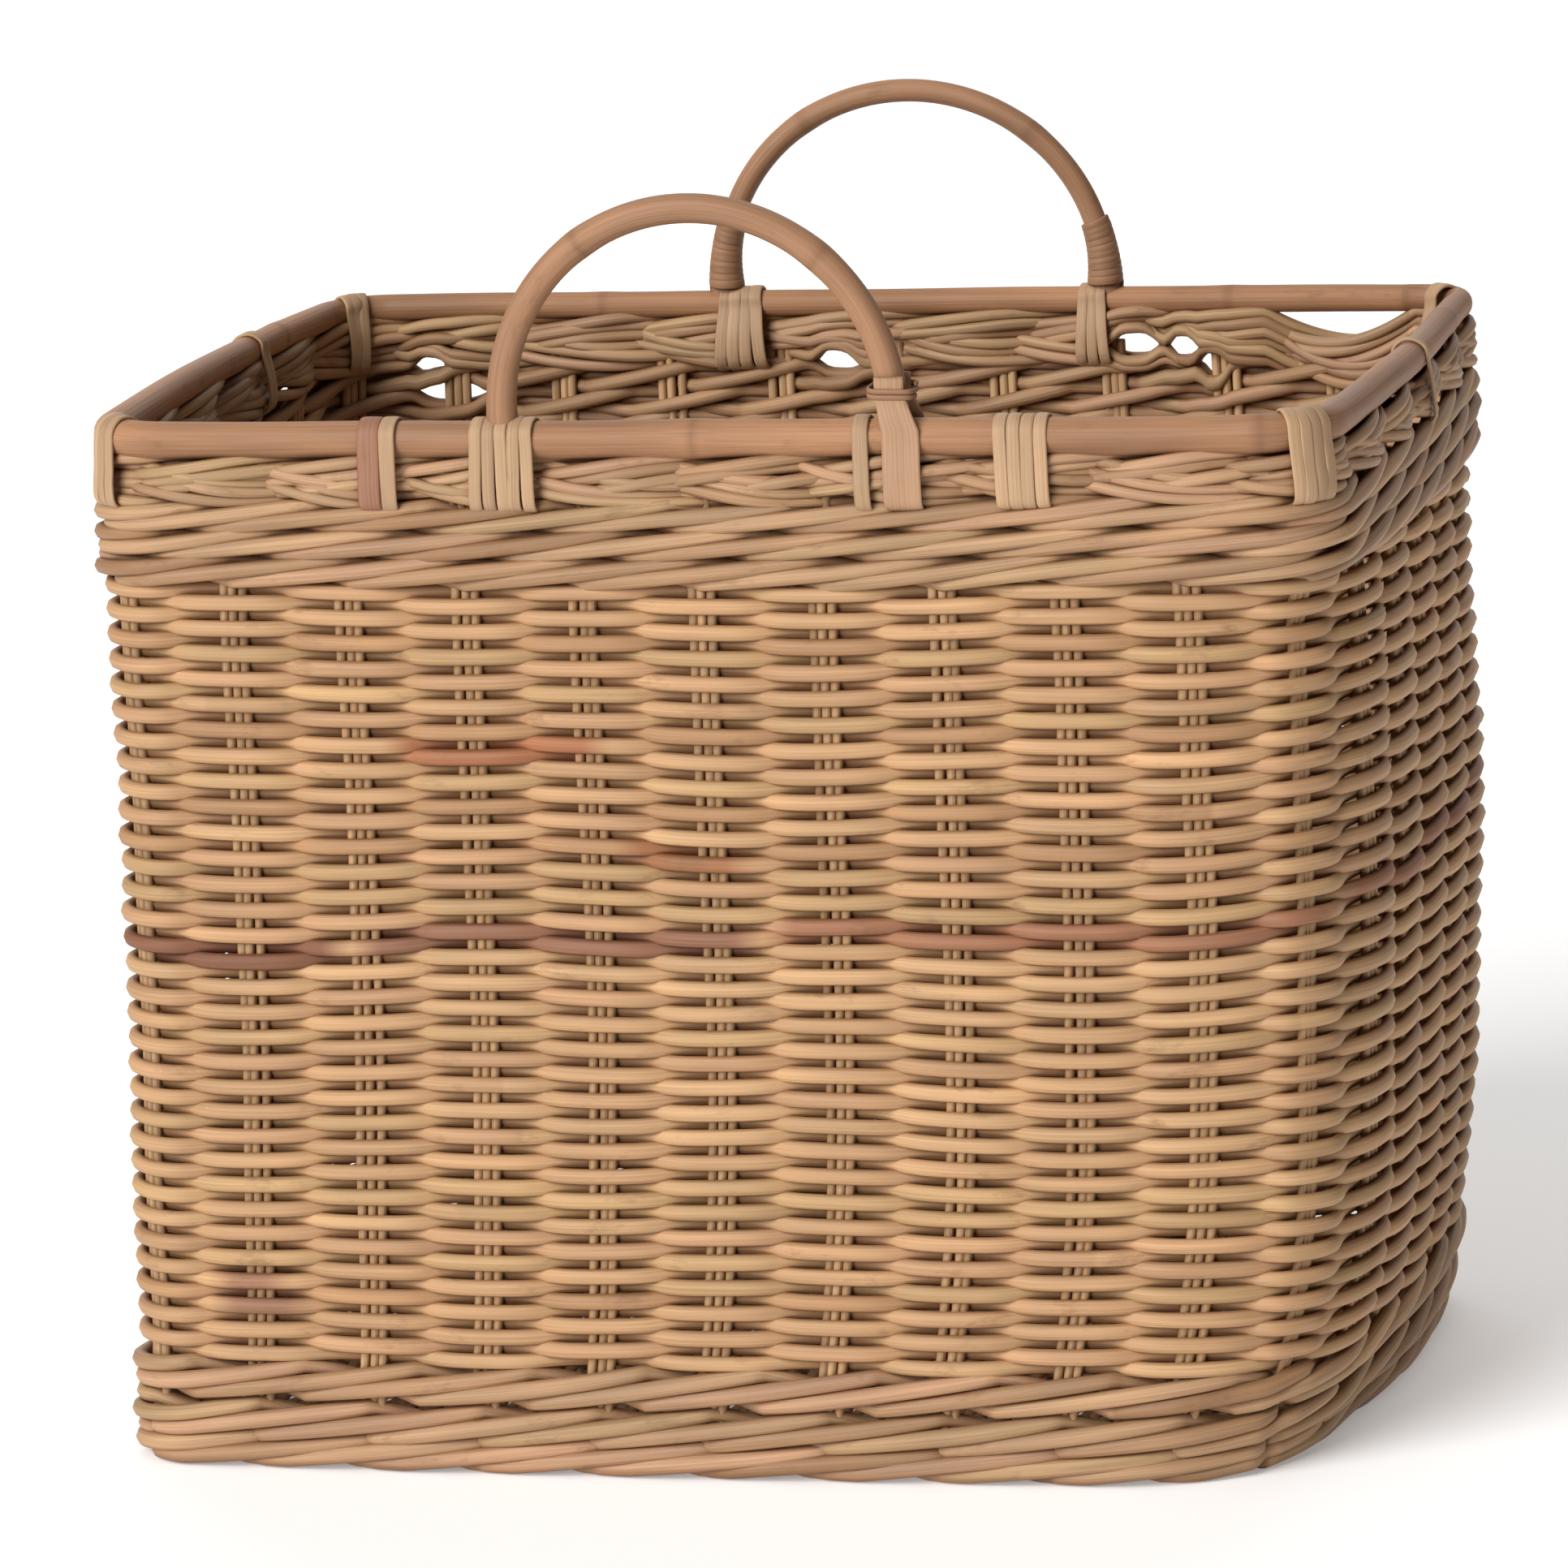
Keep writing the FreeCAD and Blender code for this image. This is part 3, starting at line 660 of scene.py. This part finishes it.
def make_border():
    """The plaited rods. Returns places round the wall, and how far in and out the rods reach there."""
    rng = np.random.default_rng(SEED + 3)
    s = np.linspace(0, PERIMETER, int(PERIMETER / ROW_STEP), endpoint=False)
    lift = (RIM_RADIUS - rim_radius(plan(s)[0][:, 1])) / 2      # up to the rim where the cane is slimmer
    centre = (PLAIT_BOTTOM + BORDER_TOP) / 2 + PLAIT_LIFT + lift
    inner, outer = np.full(len(s), np.inf), np.full(len(s), -np.inf)
    bundle = Bundle()
    for strand in range(PLAIT_STRANDS):
        for rod in range(PLAIT_RODS):
            phase = 2 * math.pi * (PLAIT_LAPS * s / PERIMETER + strand / PLAIT_STRANDS)
            phase += ripple(s, rng, 0.5)
            spread = PLAIT_SPREAD * (rod - (PLAIT_RODS - 1) / 2)
            z = centre + (PLAIT_RISE + lift) * np.sin(phase) + spread + ripple(s, rng, 0.8) - border_dip(s)
            out = PLAIT_OFFSET + PLAIT_SWING * np.sin(2 * phase + 0.4) + ripple(s, rng, 0.8)
            points, normal = wall_points(s, out, part_rods(s, z))
            size = 1 + ripple(s, rng, 0.12, THICKNESS_WAVES)
            inner = np.minimum(inner, out - PLAIT_RADIUS * size)
            outer = np.maximum(outer, out + PLAIT_RADIUS * size)
            tint = patchwork(s, rng, STROKE_COLOURS)
            bundle.rod(settle(points), normal, UP, PLAIT_RADIUS * size, PLAIT_RADIUS * size, tint,
                       closed=True, shift=rng.uniform(*FIBRE_SHIFTS))
    bundle.make("plaited_border_rods", STROKE, "border_rod", "plaited_border")
    return s, inner, outer


# ---------------------------------------------------------------- base

BASE_STICKS = 7
STICK_PITCH = 44.0
STICK_RADIUS = 3.4
STICK_END = HALF_LENGTH - 10
OUTER_STICK_CUT = 45.0       # the two outermost sticks are shorter by this at each end
STICK_STATIONS = 40
BASE_HEIGHT = 13.0
BASE_PITCH = 5.3
BASE_CLEARANCE = 6.0         # from the wall's middle line to the base's edge
BASE_SWING = 2.6
BASE_STRAND = 1.9            # half a base weaver's thickness
BASE_WIDTH = 0.54            # half its width, against the pitch
BASE_STATIONS = 110
OUTLINE_STATIONS = 800


def base_edges(x):
    """The base's front and back edges at a place along X, just inside the foot of the wall."""
    outline, _ = wall_points(np.linspace(0, PERIMETER, OUTLINE_STATIONS), -BASE_CLEARANCE, BASE_HEIGHT)
    edges = []
    for sign in (-1, 1):
        half = outline[outline[:, 1] * sign > 0]
        half = half[np.argsort(half[:, 0])]
        edges.append(np.interp(x, half[:, 0], half[:, 1]))
    return edges


def make_base():
    """The base's sticks, and the mat woven round them."""
    rng = np.random.default_rng(SEED + 4)
    bundle = Bundle()
    for index in range(BASE_STICKS):
        outermost = index in (0, BASE_STICKS - 1)
        end = STICK_END - (OUTER_STICK_CUT if outermost else 0)
        x = np.linspace(-end, end, STICK_STATIONS)
        y = STICK_PITCH * (index - (BASE_STICKS - 1) / 2) + 0.5 * np.sin(x / 60 + index)
        points = np.stack([x, y, np.full_like(x, BASE_HEIGHT)], -1)
        bundle.rod(settle(points), (0, 1, 0), UP, STICK_RADIUS, STICK_RADIUS, pick(STAKE_COLOURS, rng),
                   shift=rng.uniform(*FIBRE_SHIFTS))
    bundle.make("base_stick_rods", STAKE, "stake_rod", "base_sticks")
    bundle = Bundle()
    for column, x in enumerate(np.arange(-STICK_END, STICK_END, BASE_PITCH)):
        front, back = base_edges(x)
        y = np.linspace(front, back, BASE_STATIONS)
        wave = np.cos(math.pi * (y / STICK_PITCH + column))
        points = np.stack([np.full_like(y, x), y, BASE_HEIGHT + BASE_SWING * wave], -1)
        bundle.rod(settle(points), (1, 0, 0), UP, BASE_PITCH * BASE_WIDTH, BASE_STRAND,
                   pick(WEAVER_COLOURS, rng), sides=6, shift=rng.uniform(*FIBRE_SHIFTS))
    bundle.make("base_weave_rods", WEAVER, "base_weaver", "base_weave")


# ---------------------------------------------------------------- rim cane, handles and bindings

def smooth_path(points, per_span, closed):
    """Catmull-Rom curve through a few points."""
    points = np.asarray(points, float)
    count = len(points)
    spans = count if closed else count - 1
    t = np.linspace(0, 1, per_span, endpoint=False)[:, None]
    curve = []
    for i in range(spans):
        if closed:
            a, b, c, d = (points[(i + k) % count] for k in (-1, 0, 1, 2))
        else:
            a, b, c, d = (points[min(max(i + k, 0), count - 1)] for k in (-1, 0, 1, 2))
        curve.append(0.5 * (2 * b + (c - a) * t + (2 * a - 5 * b + 4 * c - d) * t ** 2
                            + (3 * b - a - 3 * c + d) * t ** 3))
    if not closed:
        curve.append(points[-1:])
    return np.concatenate(curve)


NODE_SWELL = 0.045
NODE_SWELL_REACH = 7.0
NODE_RING = 0.75             # how strongly the thin ring is coloured
NODE_RING_REACH = 2.0


def with_nodes(run, places, tint):
    """A cane's thickness and colour along its run: at each node it swells and darkens in a thin ring."""
    size = np.ones_like(run)
    colour = np.tile(np.asarray(tint, float), (len(run), 1))
    for place in places:
        ring = np.exp(-((run - place) / NODE_RING_REACH) ** 2)[:, None] * NODE_RING
        size += NODE_SWELL * np.exp(-((run - place) / NODE_SWELL_REACH) ** 2)
        colour = colour * (1 - ring) + np.array(NODE_COLOUR) * ring
    return size, colour


RIM_SLIMNESS = 0.83          # the cane's radius against its CAD solid's, halfway back
RIM_THINNING = 0.12          # how much less it is at the back, and more at the front
RIM_CORNER_POINT = {"back_left": 1.0, "back_right": 4.5}     # how far a kinked corner of the rim stands out
RIM_CORNER_REACH = 13.0
RIM_LEFT_PAINTED_LIGHT = 0.35        # painted light: how much lighter the cane is coloured along the left side, standing in for light falling on it
RIM_LEFT_REACH = 140.0
RIM_STEP = 2.0
RIM_FIRST_NODE = 90.0
RIM_NODE_PITCH = 233.0
RIM_NODE_STRAY = 30.0


def rim_radius(y):
    """The rim cane's radius at a place along Y: it is thinner towards the back."""
    return RIM_RADIUS * (RIM_SLIMNESS - RIM_THINNING * y / HALF_DEPTH)


def make_rim():
    """The thick cane on top of the border, bent into a ring."""
    rng = np.random.default_rng(SEED + 5)
    s = np.linspace(0, PERIMETER, int(PERIMETER / RIM_STEP), endpoint=False)
    nodes = np.arange(RIM_FIRST_NODE, PERIMETER, RIM_NODE_PITCH)
    nodes += rng.uniform(-RIM_NODE_STRAY, RIM_NODE_STRAY, len(nodes))
    size, tint = with_nodes(s, nodes, CANE_COLOUR)
    offset = RIM_OFFSET + ripple(s, rng, 0.8)
    for corner, point in RIM_CORNER_POINT.items():
        offset += point * np.exp(-((s - MIDDLE_S[corner]) / RIM_CORNER_REACH) ** 2)
    points, normal = wall_points(s, offset, RIM_HEIGHT + ripple(s, rng, 0.6))
    radius = rim_radius(points[:, 1]) * size * (1 + ripple(s, rng, 0.04))
    # Painted light: the rim's colour is lightened along the left side, where the lamps leave the cane in
    # shade.
    painted_light = RIM_LEFT_PAINTED_LIGHT * np.exp(-((s - MIDDLE_S["left"]) / RIM_LEFT_REACH) ** 6)
    tint = tint * (1 + ripple(s, rng, 0.16, (2, 5, 9)) + painted_light)[:, None]
    bundle = Bundle()
    bundle.rod(settle(points), normal, UP, radius, radius, tint, closed=True, sides=20)
    bundle.make("rim_cane_bent", RIM, "rim_cane", "rim_cane")


def handle_facts(side):
    """A handle's middle X and Y, arch radius, spring height and cane radius, read from its CAD solid."""
    low, high = node_box(side + "_handle")
    cane = (high[1] - low[1]) / 2
    arch = (high[0] - low[0]) / 2 - cane
    return (low[0] + high[0]) / 2, (low[1] + high[1]) / 2, arch, high[2] - cane - arch, cane


# Each hoop's own height against a half circle, its slimness against its CAD solid, and its feet's flare.
HOOPS = {"front": (1.01, 0.92, 0.25), "back": (0.958, 0.92, 0.7)}
HOOP_NODES = (0.33, 0.71)    # where a hoop's nodes are, as shares of its length
HOOP_STATIONS = 90
LEG_STATIONS = 7


def make_handle(side, rng):
    """A hoop of cane, whose feet flare where they sit on the rim."""
    x, y, arch, spring, cane = handle_facts(side)
    rise, slimness, flare = HOOPS[side]
    turn = np.linspace(math.pi, 0, HOOP_STATIONS)
    curve = np.stack([x + arch * np.cos(turn), 0 * turn + y, spring + rise * arch * np.sin(turn)], -1)
    legs = np.linspace(RIM_HEIGHT + 1, spring, LEG_STATIONS, endpoint=False)
    left = np.stack([0 * legs + x - arch, 0 * legs + y, legs], -1)
    right = np.stack([0 * legs + x + arch, 0 * legs + y, legs[::-1]], -1)
    points = np.concatenate([left, curve, right])
    steps = np.linalg.norm(np.diff(points, axis=0), axis=1)
    run = np.concatenate([[0], np.cumsum(steps)])
    size, tint = with_nodes(run, [run[-1] * share for share in HOOP_NODES], HANDLE_COLOUR)
    size = size * slimness
    spread = 1 + flare * np.exp(-(points[:, 2] - RIM_HEIGHT) / 7)
    tint = tint * (1 + 0.06 * np.sin(run / 31 + 1))[:, None]
    heading = unit(np.gradient(points, axis=0))
    across = np.cross(heading, (0, 1, 0))
    bundle = Bundle()
    bundle.rod(settle(points), across, (0, 1, 0), cane * size * spread, cane * size, tint,
               sides=16, shift=rng.uniform(*FIBRE_SHIFTS))
    bundle.make(side + "_handle_hoop", HANDLE, "handle_cane", side + "_handle")


STRAND_THICKNESS = 0.8       # half a split strand's thickness
STRAND_ON_CANE = 0.9         # from a cane's surface to the middle of a strand that lies on it
STRAND_ON_BORDER = 1.2


def border_sides(border, s, width):
    """How far in and out a strand lies on the border's rods, over a width along the wall."""
    places, inner, outer = border
    near = np.abs(away_round(places, s)) <= width / 2 + ROW_STEP
    return inner[near].min() - STRAND_ON_BORDER, outer[near].max() + STRAND_ON_BORDER


def over_rim(radius, sides):
    """A strand's way round the border and over the rim cane, as distances out and heights."""
    inner, outer = sides
    reach = radius + STRAND_ON_CANE
    inner_top = min(inner - 0.2, (inner + RIM_OFFSET - reach) / 2)
    outer_top = max(outer - 0.5, (outer + RIM_OFFSET + reach) / 2)
    over = [(RIM_OFFSET + reach * math.cos(turn), RIM_HEIGHT + reach * math.sin(turn))
            for turn in np.radians((-15, 30, 70, 110, 150, 195))]
    under = [(inner, PLAIT_BOTTOM + 4), (-2, PLAIT_BOTTOM - 1), (min(5, outer - 3), PLAIT_BOTTOM - 1),
             (outer - 0.7, PLAIT_BOTTOM + 2), (outer, PLAIT_BOTTOM + 9), (outer_top, BORDER_TOP - 4)]
    return under + over + [(inner_top, BORDER_TOP - 4)]


def flat_strand(bundle, s, width, tint, rng, route,
                closed=True, twist=0.0, end_shift=0.0, end_width=1.0):
    """A flat strand of split cane on a route in the plane across the wall at a distance round it.

    twist leans it; end_shift and end_width move and narrow what stands above the rim.
    """
    path = smooth_path(np.array(route) + rng.uniform(-0.25, 0.25, (len(route), 2)), 5, closed)
    above_rim = np.clip((path[:, 1] - RIM_HEIGHT - 4) / 14, 0, 1)
    lean = twist * (path[:, 1] - RIM_HEIGHT) / 30.0 + end_shift * above_rim
    points, normal = wall_points(s + lean, path[:, 0], path[:, 1])
    if closed:
        heading = unit(np.roll(points, -1, axis=0) - np.roll(points, 1, axis=0))
    else:
        heading = unit(np.gradient(points, axis=0))
    along = np.cross(normal, UP)
    out = np.cross(heading, along)
    half = width / 2 * (1 + (end_width - 1) * above_rim)
    bundle.rod(settle(points), out, along, STRAND_THICKNESS, half, tint, closed=closed, sides=14,
               shift=rng.uniform(*FIBRE_SHIFTS), flat=0.62)


# CAD node: number of strands side by side, and their colour.
BINDINGS = {
    "front_left_corner_binding": (3, BINDING_COLOUR),
    "front_left_red_binding": (1, RED_BINDING_COLOUR),
    "front_left_light_binding": (1, BINDING_COLOUR),
    "front_right_handle_tie": (1, BINDING_COLOUR),
    "front_right_binding": (4, BINDING_COLOUR),
    "front_right_corner_binding": (4, BINDING_COLOUR),
    "back_left_corner_binding": (3, BINDING_COLOUR),
    "back_right_corner_binding": (2, BINDING_COLOUR),
    "left_side_tie": (2, BINDING_COLOUR),
    "right_side_tie": (1, BINDING_COLOUR),
    "front_handle_left_strands": (5, BINDING_COLOUR),
    "back_handle_left_strands": (4, BINDING_COLOUR),
    "back_handle_right_strands": (3, BINDING_COLOUR),
}
CORNER_STRAND = 5.2
CORNER_CROWDING = 0.70       # strands at a corner crowd together inside the bend
FAN = 0.35                   # strands below the back handle spread by this much towards their lower ends


def binding_place(node):
    """Where a CAD binding is round the wall, and its whole width along the wall."""
    for corner in CORNERS:
        if node.startswith(corner + "_corner"):
            return MIDDLE_S[corner], None
    low, high = node_box(node)
    middle = (low + high) / 2
    side = node.split("_")[0]
    axis = 0 if side in ("front", "back") else 1
    return along_side(side, middle[axis]), high[axis] - low[axis]


def make_bindings(border):
    """The strands side by side in each binding, where its CAD node stands."""
    rng = np.random.default_rng(SEED + 6)
    for node, (strands, colour) in BINDINGS.items():
        s, whole = binding_place(node)
        width = whole / strands if whole else CORNER_STRAND
        pitch = width if whole else width * CORNER_CROWDING
        fan = FAN if node.startswith("back_handle") else 0.0
        route = over_rim(rim_radius(plan(s)[0][1]), border_sides(border, s, pitch * strands))
        bundle = Bundle()
        for index in range(strands):
            away = pitch * (index - (strands - 1) / 2)
            shade = np.array(colour) * rng.uniform(0.86, 1.1)
            twist = rng.uniform(-0.8, 0.8) - fan * away
            flat_strand(bundle, s + away * (1 - fan / 2), width, shade, rng, route, twist=twist)
        bundle.make(node + "_bent", BINDING, "binding_cane", node)


TONGUE_END_WIDTH = 0.78      # against its width below the rim


def make_tongue(border):
    """The wide strip round the border that runs up both faces of the front handle's right leg."""
    rng = np.random.default_rng(SEED + 7)
    node = "front_handle_right_tongue"
    low, high = node_box(node)
    x, _, arch, _, cane = handle_facts("front")
    reach = cane * HOOPS["front"][1] + STRAND_ON_CANE
    middle = (low[0] + high[0]) / 2
    sides = border_sides(border, along_side("front", middle), high[0] - low[0])
    around = over_rim(rim_radius(-HALF_DEPTH), sides)
    route = [(RIM_OFFSET - reach, high[2]), (RIM_OFFSET - reach - 0.3, RIM_HEIGHT + 13)]
    route += around[-2:-1] + [(sides[0] - 0.6, BORDER_TOP - 4)] + around[:7]
    route += [(RIM_OFFSET + reach + 1.2, RIM_HEIGHT + 8), (RIM_OFFSET + reach, RIM_HEIGHT + 15),
              (RIM_OFFSET + reach, high[2])]
    bundle = Bundle()
    flat_strand(bundle, along_side("front", middle), high[0] - low[0], TONGUE_COLOUR, rng, route,
                closed=False, end_shift=x + arch - middle, end_width=TONGUE_END_WIDTH)
    bundle.make(node + "_bent", BINDING, "binding_cane", node)


WHIPPING_TURNS = 2
WHIPPING_PITCH = 2.2
WHIPPING_STATIONS = 30       # in each turn


def make_whipping():
    """Thin turns that hold the tongue to the leg."""
    rng = np.random.default_rng(SEED + 10)
    node = "front_handle_right_whipping"
    low, high = node_box(node)
    turn = np.linspace(0, 2 * math.pi * WHIPPING_TURNS, WHIPPING_STATIONS * WHIPPING_TURNS)
    x, _, arch, _, cane = handle_facts("front")
    reach = cane * HOOPS["front"][1] + 2.0
    half_width = TONGUE_END_WIDTH * (high[0] - low[0]) / 2
    middle = along_side("front", x + arch)
    z = low[2] + 1.2 + WHIPPING_PITCH * turn / math.pi / 2
    cos, sin = np.cos(turn), np.sin(turn)
    along = half_width * np.sign(cos) * np.abs(cos) ** 0.5
    across = reach * np.sign(sin) * np.abs(sin) ** 0.5
    points, _ = wall_points(middle + along, RIM_OFFSET + across, z)
    centre, _ = wall_points(middle, RIM_OFFSET, z)
    out = unit((points - centre) * (1, 1, 0))
    bundle = Bundle()
    bundle.rod(settle(points), out, UP, 0.6, 1.1, COLLAR_COLOUR, shift=rng.uniform(*FIBRE_SHIFTS))
    bundle.make(node + "_turns", BINDING, "binding_cane", node)


COLLAR_TURNS = 10
COLLAR_STATIONS = 26         # in each turn
COLLAR_FLARE = 1.5           # how much wider a collar is at its foot


def make_collar(side):
    """A close spiral of thin cane round one leg of the back handle."""
    rng = np.random.default_rng(SEED + 11)
    node = "back_handle_%s_collar" % side
    _, high = node_box(node)
    x, y, arch, spring, cane = handle_facts("back")
    sign = 1 if side == "right" else -1
    turn = np.linspace(0, 2 * math.pi * COLLAR_TURNS, COLLAR_STATIONS * COLLAR_TURNS)
    foot = RIM_HEIGHT + rim_radius(y) + 1.2
    bend = (foot + (high[2] - 1.4 - foot) * turn / turn[-1] - spring) / arch
    out = np.stack([sign * np.cos(bend) * np.cos(turn), np.sin(turn), np.sin(bend) * np.cos(turn)], -1)
    axis = np.stack([-sign * np.sin(bend), 0 * bend, np.cos(bend)], -1)
    rise, slimness, _ = HOOPS["back"]
    height = spring + rise * arch * np.sin(bend)
    centre = np.stack([x + sign * arch * np.cos(bend), 0 * bend + y, height], -1)
    reach = (cane * slimness + 0.7 + COLLAR_FLARE * np.linspace(1, 0, len(turn)) ** 1.5)[:, None]
    tint = np.tile(HANDLE_COLOUR, (len(turn), 1)) * rng.uniform(0.9, 1.0)
    tint[-COLLAR_STATIONS:] = COLLAR_COLOUR
    bundle = Bundle()
    bundle.rod(settle(centre + out * reach), out, axis, 0.7, 1.9, tint, shift=rng.uniform(*FIBRE_SHIFTS),
               sides=12, flat=0.6)
    bundle.make(node + "_turns", HANDLE, "binding_cane", node)


make_wall()
make_stakes()
make_wales()
border_reach = make_border()
make_base()
make_rim()
make_handle("front", np.random.default_rng(SEED + 8))
make_handle("back", np.random.default_rng(SEED + 9))
make_bindings(border_reach)
make_tongue(border_reach)
make_whipping()
make_collar("left")
make_collar("right")


# ---------------------------------------------------------------- floor, light and camera

FLOOR_HALF = 30.0            # metres
FLOOR_GLOW = 0.25            # keeps the pale floor from going grey under the soft light
FLOOR_COLOUR = (0.90, 0.90, 0.90, 1)
SKY_COLOUR = (1.0, 0.91, 0.82, 1)
SKY_STRENGTH = 0.09
CAMERA_PLACE = (1013.2, -3772.4, 1088.5)
CAMERA_YAW, CAMERA_PITCH, CAMERA_ROLL = 15.16, 12.08, -3.02      # degrees
LENS = 221.6
SENSOR = 36.0


def make_floor():
    """A plain pale floor."""
    mesh = bpy.data.meshes.new("floor")
    corners = [(-FLOOR_HALF, -FLOOR_HALF, 0), (FLOOR_HALF, -FLOOR_HALF, 0),
               (FLOOR_HALF, FLOOR_HALF, 0), (-FLOOR_HALF, FLOOR_HALF, 0)]
    mesh.from_pydata(corners, [], [(0, 1, 2, 3)])
    material = bpy.data.materials.new("floor_paint")
    material.use_nodes = True
    shader = material.node_tree.nodes["Principled BSDF"]
    shader.inputs["Base Color"].default_value = FLOOR_COLOUR
    shader.inputs["Roughness"].default_value = 0.9
    shader.inputs["Emission Color"].default_value = (1, 1, 1, 1)
    shader.inputs["Emission Strength"].default_value = FLOOR_GLOW
    mesh.materials.append(material)
    floor = bpy.data.objects.new("floor", mesh)
    bpy.context.scene.collection.objects.link(floor)


def make_sun(name, direction, strength, softness):
    """A sun that shines along a direction; softness is its angle in degrees."""
    light = bpy.data.lights.new(name, "SUN")
    light.energy = strength
    light.angle = math.radians(softness)
    sun = bpy.data.objects.new(name, light)
    sun.rotation_euler = Vector(direction).to_track_quat("-Z", "Y").to_euler()
    bpy.context.scene.collection.objects.link(sun)


def make_lights():
    """Soft light from the front left, from above and from behind, and a warm dim surround."""
    make_sun("key_sun", (0.50, 0.90, -0.55), strength=3.45, softness=40)
    make_sun("top_sun", (0.10, 0.10, -1.0), strength=0.65, softness=80)
    make_sun("back_sun", (0.12, -0.85, -0.5), strength=1.1, softness=60)
    world = bpy.data.worlds.new("studio")
    bpy.context.scene.world = world
    world.use_nodes = True
    background = world.node_tree.nodes["Background"]
    background.inputs["Color"].default_value = SKY_COLOUR
    background.inputs["Strength"].default_value = SKY_STRENGTH


def make_camera():
    """The camera at its place, turned by yaw, pitch and roll."""
    camera = bpy.data.objects.new("camera", bpy.data.cameras.new("camera"))
    camera.data.lens = LENS
    camera.data.sensor_width = SENSOR
    camera.data.clip_end = 100
    camera.location = Vector(CAMERA_PLACE) * MM
    yaw = Matrix.Rotation(math.radians(CAMERA_YAW), 3, "Z")
    pitch = Matrix.Rotation(math.radians(90 - CAMERA_PITCH), 3, "X")
    roll = Matrix.Rotation(math.radians(CAMERA_ROLL), 3, "Z")
    camera.rotation_euler = (yaw @ pitch @ roll).to_euler()
    bpy.context.scene.collection.objects.link(camera)
    bpy.context.scene.camera = camera


make_floor()
make_lights()
make_camera()
bpy.context.scene.view_settings.view_transform = "Standard"
